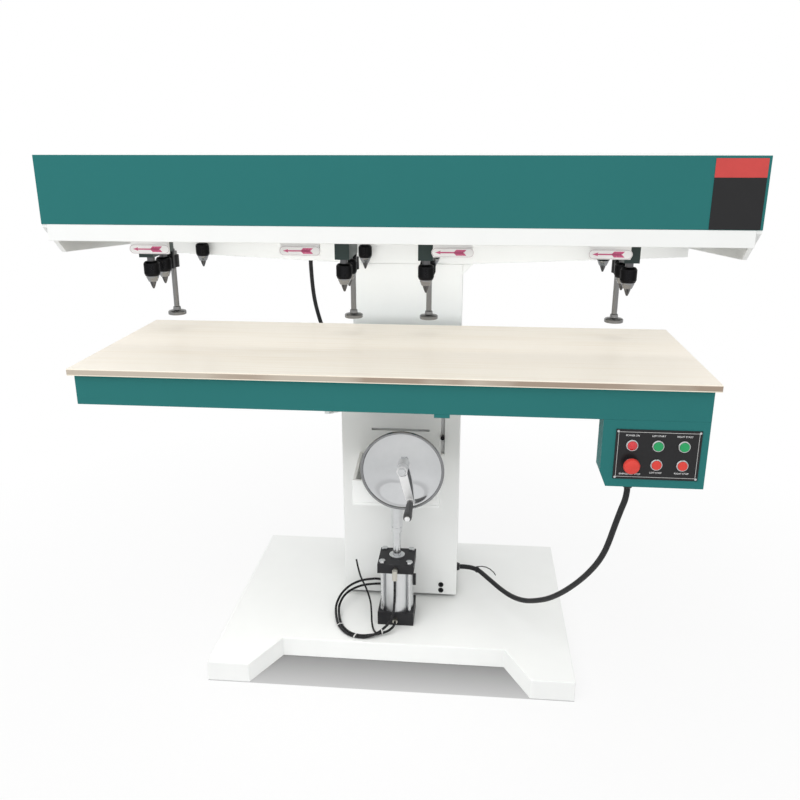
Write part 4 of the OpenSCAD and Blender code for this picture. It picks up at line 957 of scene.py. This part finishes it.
def addWheel(settings):
    bm = bmesh.new()
    turn = Matrix.Rotation(-math.pi / 2, 4, "X")
    centre, grip = (Vector(pivotOf[body]) / mm for body in ("handwheel", "handle_grip"))
    rim, hub, bore, (near, far) = (settings[key] for key in ("rim", "hub", "bore", "hubEnds"))
    rimRadius = settings["outer"] - rim
    ring = []
    for k in range(settings["rimSteps"] + 1):
        a = math.tau * k / settings["rimSteps"]
        ring.append((rimRadius + rim * math.cos(a), rim * math.sin(a)))
    lathe(bm, ring, settings["segments"], 1, centre, turn)
    dishRadius = rimRadius - settings["dishEdge"]
    front = []
    for k in range(settings["dishSteps"] + 1):
        t = k / settings["dishSteps"]
        depth = settings["dish"] * math.sin(math.pi / 2 * t) ** settings["dishCurve"]
        front.append((dishRadius - (dishRadius - hub) * t, depth))
    back = [(radius, depth + settings["wall"]) for radius, depth in reversed(front)]
    lathe(bm, front + back + front[:1], settings["segments"], 0, centre, turn)
    tube = [(bore, near), (hub, near), (hub, far), (bore, far), (bore, near)]
    lathe(bm, tube, settings["hubSegments"], 2, centre, turn)
    reach = Vector((grip.x - centre.x, grip.z - centre.z))
    along = reach.normalized()
    across = Vector((-along.y, along.x)) / 2
    ends = list(zip((hub - settings["armRoot"], reach.length), settings["armWide"]))
    arm = [along * r - across * w for r, w in ends] + [along * r + across * w for r, w in reversed(ends)]
    slabFrom(bm, arm, centre.x, centre.z, centre.y + near, centre.y + settings["armBack"], 2)
    for profile in (settings["seat"], settings["pin"]):
        lathe(bm, profile, settings["pinSegments"], 2, (grip.x, centre.y, grip.z), turn)
    bmesh.ops.remove_doubles(bm, verts=bm.verts, dist=tiny)
    bmesh.ops.recalc_face_normals(bm, faces=bm.faces)
    softenEdges(bm, settings["softAngle"])
    mesh = meshFrom(bm, "wheelDish")
    newObject("wheelDish", mesh, settings["finishes"], "handwheel", "chrome", ["handwheel"])


addWheel(wheel)
dressAll({"handwheel_shaft": ("brightSteel", 0.6), "handle_grip": ("gripPlastic", 0.4)})
print("handwheel dressed")

# Control box
controlLooks = {
    "control_box": ("tealEnamel", 0.8), "control_plate": ("panelBlack", 0.3),
    "panel_bezels": ("brightSteel", 0.3), "pilot_lamp": ("lampRed", 0.3),
    "left_start_button": ("greenPlastic", 0.4), "right_start_button": ("greenPlastic", 0.4),
    "left_stop_button": ("redPlastic", 0.4), "right_stop_button": ("redPlastic", 0.4),
    "emergency_stop": ("redPlastic", 0.4),
}
dressAll(controlLooks)

# Line round the control plate and screws in its corners
panelLine = {"inset": 6, "wide": 1, "raise": 0.25, "sink": 0.2}
panelScrews = {"inset": 5, "radius": 2.4, "height": 1.2, "washer": 2.9, "sides": 20}


def addPanelTrim(line, screws):
    low, high = (Vector(c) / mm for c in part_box("control_plate"))
    front, back, wide = low.y - line["raise"], low.y + line["sink"], line["wide"]
    x0, x1 = low.x + line["inset"], high.x - line["inset"]
    z0, z1 = low.z + line["inset"], high.z - line["inset"]
    bm = bmesh.new()
    for bottom, top in ((z0, z0 + wide), (z1 - wide, z1)):
        addBox(bm, (x0, front, bottom), (x1, back, top))
    for left, right in ((x0, x0 + wide), (x1 - wide, x1)):
        addBox(bm, (left, front, z0 + wide), (right, back, z1 - wide))
    newObject("panelLine", meshFrom(bm, "panelLine"), ["tieWhite"], "table")
    inset = screws["inset"]
    sides, levels = (low.x + inset, high.x - inset), (low.z + inset, high.z - inset)
    corners = [(x, low.y, z) for x in sides for z in levels]
    addBolts("panelScrews", corners, "table", "brightSteel", screws)


addPanelTrim(panelLine, panelScrews)

# Plain words over and under the six devices, with their lift from the device's middle in millimetres
legends = {
    "height": 6.2, "raise": 0.12,
    "words": {
        "pilot_lamp": ("POWER ON", 25), "left_start_button": ("LEFT START", 25),
        "right_start_button": ("RIGHT START", 25), "emergency_stop": ("EMERGENCY STOP", -27),
        "left_stop_button": ("LEFT STOP", -22), "right_stop_button": ("RIGHT STOP", -22),
    },
}


def addLegends(settings):
    height, rise = settings["height"] * mm, settings["raise"] * mm
    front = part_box("control_plate")[0][1] - rise
    bm = bmesh.new()
    for device, (word, lift) in settings["words"].items():
        low, high = (Vector(c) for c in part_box(device))
        text = bpy.data.curves.new(word, "FONT")
        text.body = word
        text.size = height
        text.align_x, text.align_y = "CENTER", "CENTER"
        text.extrude = rise
        mesh = plainMesh(placed(word + "Maker", text))
        middle = Vector(((low.x + high.x) / 2, front, (low.z + high.z) / 2 + lift * mm))
        mesh.transform(Matrix.Translation(middle) @ Matrix.Rotation(math.pi / 2, 4, "X"))
        joinMesh(bm, mesh, 0)
    newObject("panelLegends", meshFrom(bm, "panelLegends"), ["legendWhite"], "table")


addLegends(legends)
print("control box dressed")

# Drill chucks, turned in millimetres above the floor
chuck = {
    "spindle": [(0, 1320), (9, 1320), (9, 1242.7), (10.8, 1242.7), (10.8, 1229), (0, 1229)],
    "sleeve": [
        (0, 1229), (16, 1229), (18.5, 1227.5), (21.2, 1224),
        (21.2, 1194), (20, 1190), (18.5, 1188), (0, 1188),
    ],
    "nose": [(0, 1188.5), (17.1, 1188.5), (17.1, 1183.5), (16.2, 1182), (11.9, 1172.2), (0, 1172.2)],
    "jaw": [(0.6, 1172.5), (8.6, 1172.5), (8.6, 1169), (5.6, 1160), (2.4, 1152.3), (0.6, 1152.3)],
    "segments": {"spindle": 40, "sleeve": 56, "nose": 48, "jaw": 12},
    "jaws": 3, "jawStart": 0.4, "jawGap": 0.12,  # angles in radians
    "ribs": 44, "ribTop": 1222, "ribLow": 1195, "ribRadius": 21.4, "ribWide": 1.5, "ribDeep": 1.1,
    "finishes": ["chuckSteel", "blackOxide", "neckSteel"],
}


def addChuck(node, settings):
    x, y = (value / mm for value in pivotOf[bodyOf[node]][:2])
    segments, gap = settings["segments"], settings["jawGap"]
    bm = bmesh.new()
    for part, index in (("spindle", 2), ("sleeve", 1), ("nose", 0)):
        lathe(bm, settings[part], segments[part], index, (x, y, 0))
    share = math.tau / settings["jaws"]
    for k in range(settings["jaws"]):
        start = share * k + settings["jawStart"]
        lathe(bm, settings["jaw"], segments["jaw"], 2, (x, y, 0), None, (start + gap, start + share - gap))
    top, low = settings["ribTop"], settings["ribLow"]
    knurl = {
        "Ribs": settings["ribs"], "Radius": settings["ribRadius"] * mm, "Width": settings["ribWide"] * mm,
        "Depth": settings["ribDeep"] * mm, "Height": (top - low) * mm,
        "Centre": (x * mm, y * mm, (top + low) / 2 * mm), "Finish": finishes["blackOxide"],
    }
    joinMesh(bm, grown(knurls, bpy.data.meshes.new("knurlSeed"), knurl, node + "_knurl"), 1)
    softenEdges(bm)
    name = node + "_chuck"
    newObject(name, meshFrom(bm, name), settings["finishes"], bodyOf[node], slotOf[node], [node])


headLimits = {"holdDownReach": 1200, "tagPlateTop": 1300}  # millimetres that tell the solids apart


def housingFinish(low, high):
    return "blackAnodised" if low.z < headLimits["holdDownReach"] else "darkGreenEnamel"


# The tab behind each tag gets the tag white, lighter than the white enamel: painted light for a tab that sits
# in shade under the rail
def carriageFinish(low, high):
    return "tagWhite" if high.z < headLimits["tagPlateTop"] else "whiteEnamel"


# Direction tag: a pill with a thin border and an arrow, raised in layers from the carriage's plate
tag = {
    "width": 112, "height": 25.5, "steps": 10, "rise": 13, "thick": 1.2, "inset": 1.2, "border": 1.1,
    "edgeLift": 0.15, "faceLift": 0.3, "arrowLift": 0.5, "finishes": ["tagWhite", "tagEdge", "arrowPink"],
}
arrow = {  # millimetres from the tag's middle
    "tip": -46, "barb": -31, "notch": -34, "spread": 4.8, "shaft": 1.8, "tail": 28, "feathers": (3, 12, 21),
    "featherWide": 8.8, "featherTall": 7.6, "featherSlant": 6,
}


# The arrow as flat outlines: two halves of its head, its shaft and three pairs of feathers
def arrowParts(settings):
    tip, barb, notch, shaft, tail = (settings[key] for key in ("tip", "barb", "notch", "shaft", "tail"))
    parts = [[(tip, 0), (barb, -side * settings["spread"]), (notch, 0)][::side] for side in (1, -1)]
    parts.append([(notch, -shaft), (tail, -shaft), (tail, shaft), (notch, shaft)])
    tall, slant = settings["featherTall"], settings["featherSlant"]
    for start in settings["feathers"]:
        end = start + settings["featherWide"]
        for side in (1, -1):
            foot, top = side * shaft / 2, side * tall
            parts.append([(start, foot), (end, foot), (end + slant, top), (start + slant, top)][::side])
    return parts


def pill(inset):
    r = tag["height"] / 2 - inset
    straight = tag["width"] / 2 - inset - r
    points = []
    for side, start in ((1, -90), (-1, 90)):
        for k in range(tag["steps"] + 1):
            a = math.radians(start + 180 * k / tag["steps"])
            points.append((side * straight + r * math.cos(a), r * math.sin(a)))
    return points


def addTag(head):
    low, high = next(box for box in solidBoxes(head + "_carriage") if carriageFinish(*box) == "tagWhite")
    x, z, front = (low.x + high.x) / 2, low.z + tag["rise"], low.y - tag["thick"]
    bm = bmesh.new()
    slabFrom(bm, pill(0), x, z, front, low.y, 0)
    slabFrom(bm, pill(tag["inset"]), x, z, front - tag["edgeLift"], front, 1)
    slabFrom(bm, pill(tag["inset"] + tag["border"]), x, z, front - tag["faceLift"], front, 0)
    for outline in arrowParts(arrow):
        slabFrom(bm, outline, x, z, front - tag["arrowLift"], front, 2)
    bmesh.ops.recalc_face_normals(bm, faces=bm.faces)
    name = head + "_tag"
    newObject(name, meshFrom(bm, name), tag["finishes"], head)


headLooks = {
    "carriage": (carriageFinish, 0.8), "housing": (housingFinish, 1.2), "hold_down": ("rodSteel", 0.4),
}
for head in [body for body in behaviour["bodies"] if body + "_carriage" in nodes]:
    dressAll({f"{head}_{part}": look for part, look in headLooks.items()})
    for kind in ("front", "middle", "rear"):
        addChuck(f"{head}_{kind}_spindle", chuck)
    addTag(head)
print("drill heads dressed")

# Floor, backdrop and light, in metres
studio = {
    "ambient": 1.0, "floorHalf": 14, "floorDrop": 0.001, "floorWhite": 0.75,
    "glow": (0.8, 1.0), "glowReach": (0.75, 2.2),
    "notchShade": (0.52, 0.17), "notchDepth": 0.14,  # painted shadow on the floor in the base's notch, from its front edge inwards
}
lamps = {  # place, aim, width and height, watts, and spread in degrees
    "frontLamp": ((0.1, -4.2, 2.1), (0, 0, 0.9), (3.8, 3.8), 10, 180),
    "keyLamp": ((-1.8, -3.2, 4.2), (0, 0, 0.9), (3.2, 3.2), 62, 180),
    "rimLamp": ((0.5, 3.2, 3.6), (0, 0, 1.0), (3.0, 3.0), 10, 180),
    "gapLamp": ((0, -0.25, 1.06), (0, 0.3, 1.13), (1.7, 0.1), 1.1, 75),
    "deckLamp": ((0, 0.1, 1.285), (0, 0.1, 1.0), (1.7, 0.5), 1.3, 150),
    "lowLamp": ((-0.1, -0.42, 0.87), (-0.1, -0.38, 0.05), (1.1, 0.2), 1.35, 120),
}
black, white = rgba((0, 0, 0)), rgba((1, 1, 1))


def addFloor(settings):
    bm = bmesh.new()
    bmesh.ops.create_grid(bm, x_segments=2, y_segments=2, size=settings["floorHalf"])
    floor = placed("studioFloor", meshFrom(bm, "studioFloor"))
    floor.location.z = -settings["floorDrop"]
    f = Finish("studioFloor")

    def fade(value, places, levels):
        sockets = {
            "Value": value, "From Min": places[0], "From Max": places[1],
            "To Min": levels[0], "To Max": levels[1],
        }
        return f.node("ShaderNodeMapRange", {"clamp": True}, sockets)

    matt = f.node("ShaderNodeBsdfDiffuse", {}, {"Color": rgba([settings["floorWhite"]] * 3)})
    away = f.node("ShaderNodeVectorMath", {"operation": "LENGTH"}, {0: f.place()}, out="Value")
    share = fade(away, settings["glowReach"], settings["glow"])
    low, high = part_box("base")
    x, y = f.axis("X"), f.axis("Y")
    # Painted shadow: inside the base's outline the floor's glow is darkened, from the notch's front edge
    # inwards
    inside = (x > low[0]) * (x < high[0]) * (y > low[1]) * (y < high[1])
    notchShadow = fade(y, (low[1], low[1] + settings["notchDepth"]), settings["notchShade"])
    glow = f.node("ShaderNodeEmission", {}, {"Color": f.mix(1 - inside * (1 - notchShadow), black, white)})
    seen = f.node("ShaderNodeLightPath", out="Is Camera Ray")
    blend = f.node("ShaderNodeMixShader", {}, {0: seen * share, 1: matt, 2: glow})
    f.end("ShaderNodeOutputMaterial", blend)
    floor.data.materials.append(f.material)


def addWorld(settings):
    scene.world = bpy.data.worlds.new("studioWorld")
    scene.world.use_nodes = True
    sky = Tree(scene.world.node_tree)
    sky.tree.nodes.clear()
    light = sky.node("ShaderNodeBackground", {}, {"Color": white, "Strength": settings["ambient"]})
    sky.end("ShaderNodeOutputWorld", light)


def addLamps(table):
    for name, (place, aim, size, watts, spread) in table.items():
        light = bpy.data.lights.new(name, "AREA")
        light.shape = "RECTANGLE"
        light.size, light.size_y = size
        light.spread = math.radians(spread)
        light.energy = watts
        piece = placed(name, light)
        piece.location = place
        piece.rotation_euler = lookAlong(Vector(aim) - Vector(place))
        piece.visible_camera = False
        piece.visible_glossy = False


addFloor(studio)
addWorld(studio)
addLamps(lamps)
print("studio ready")
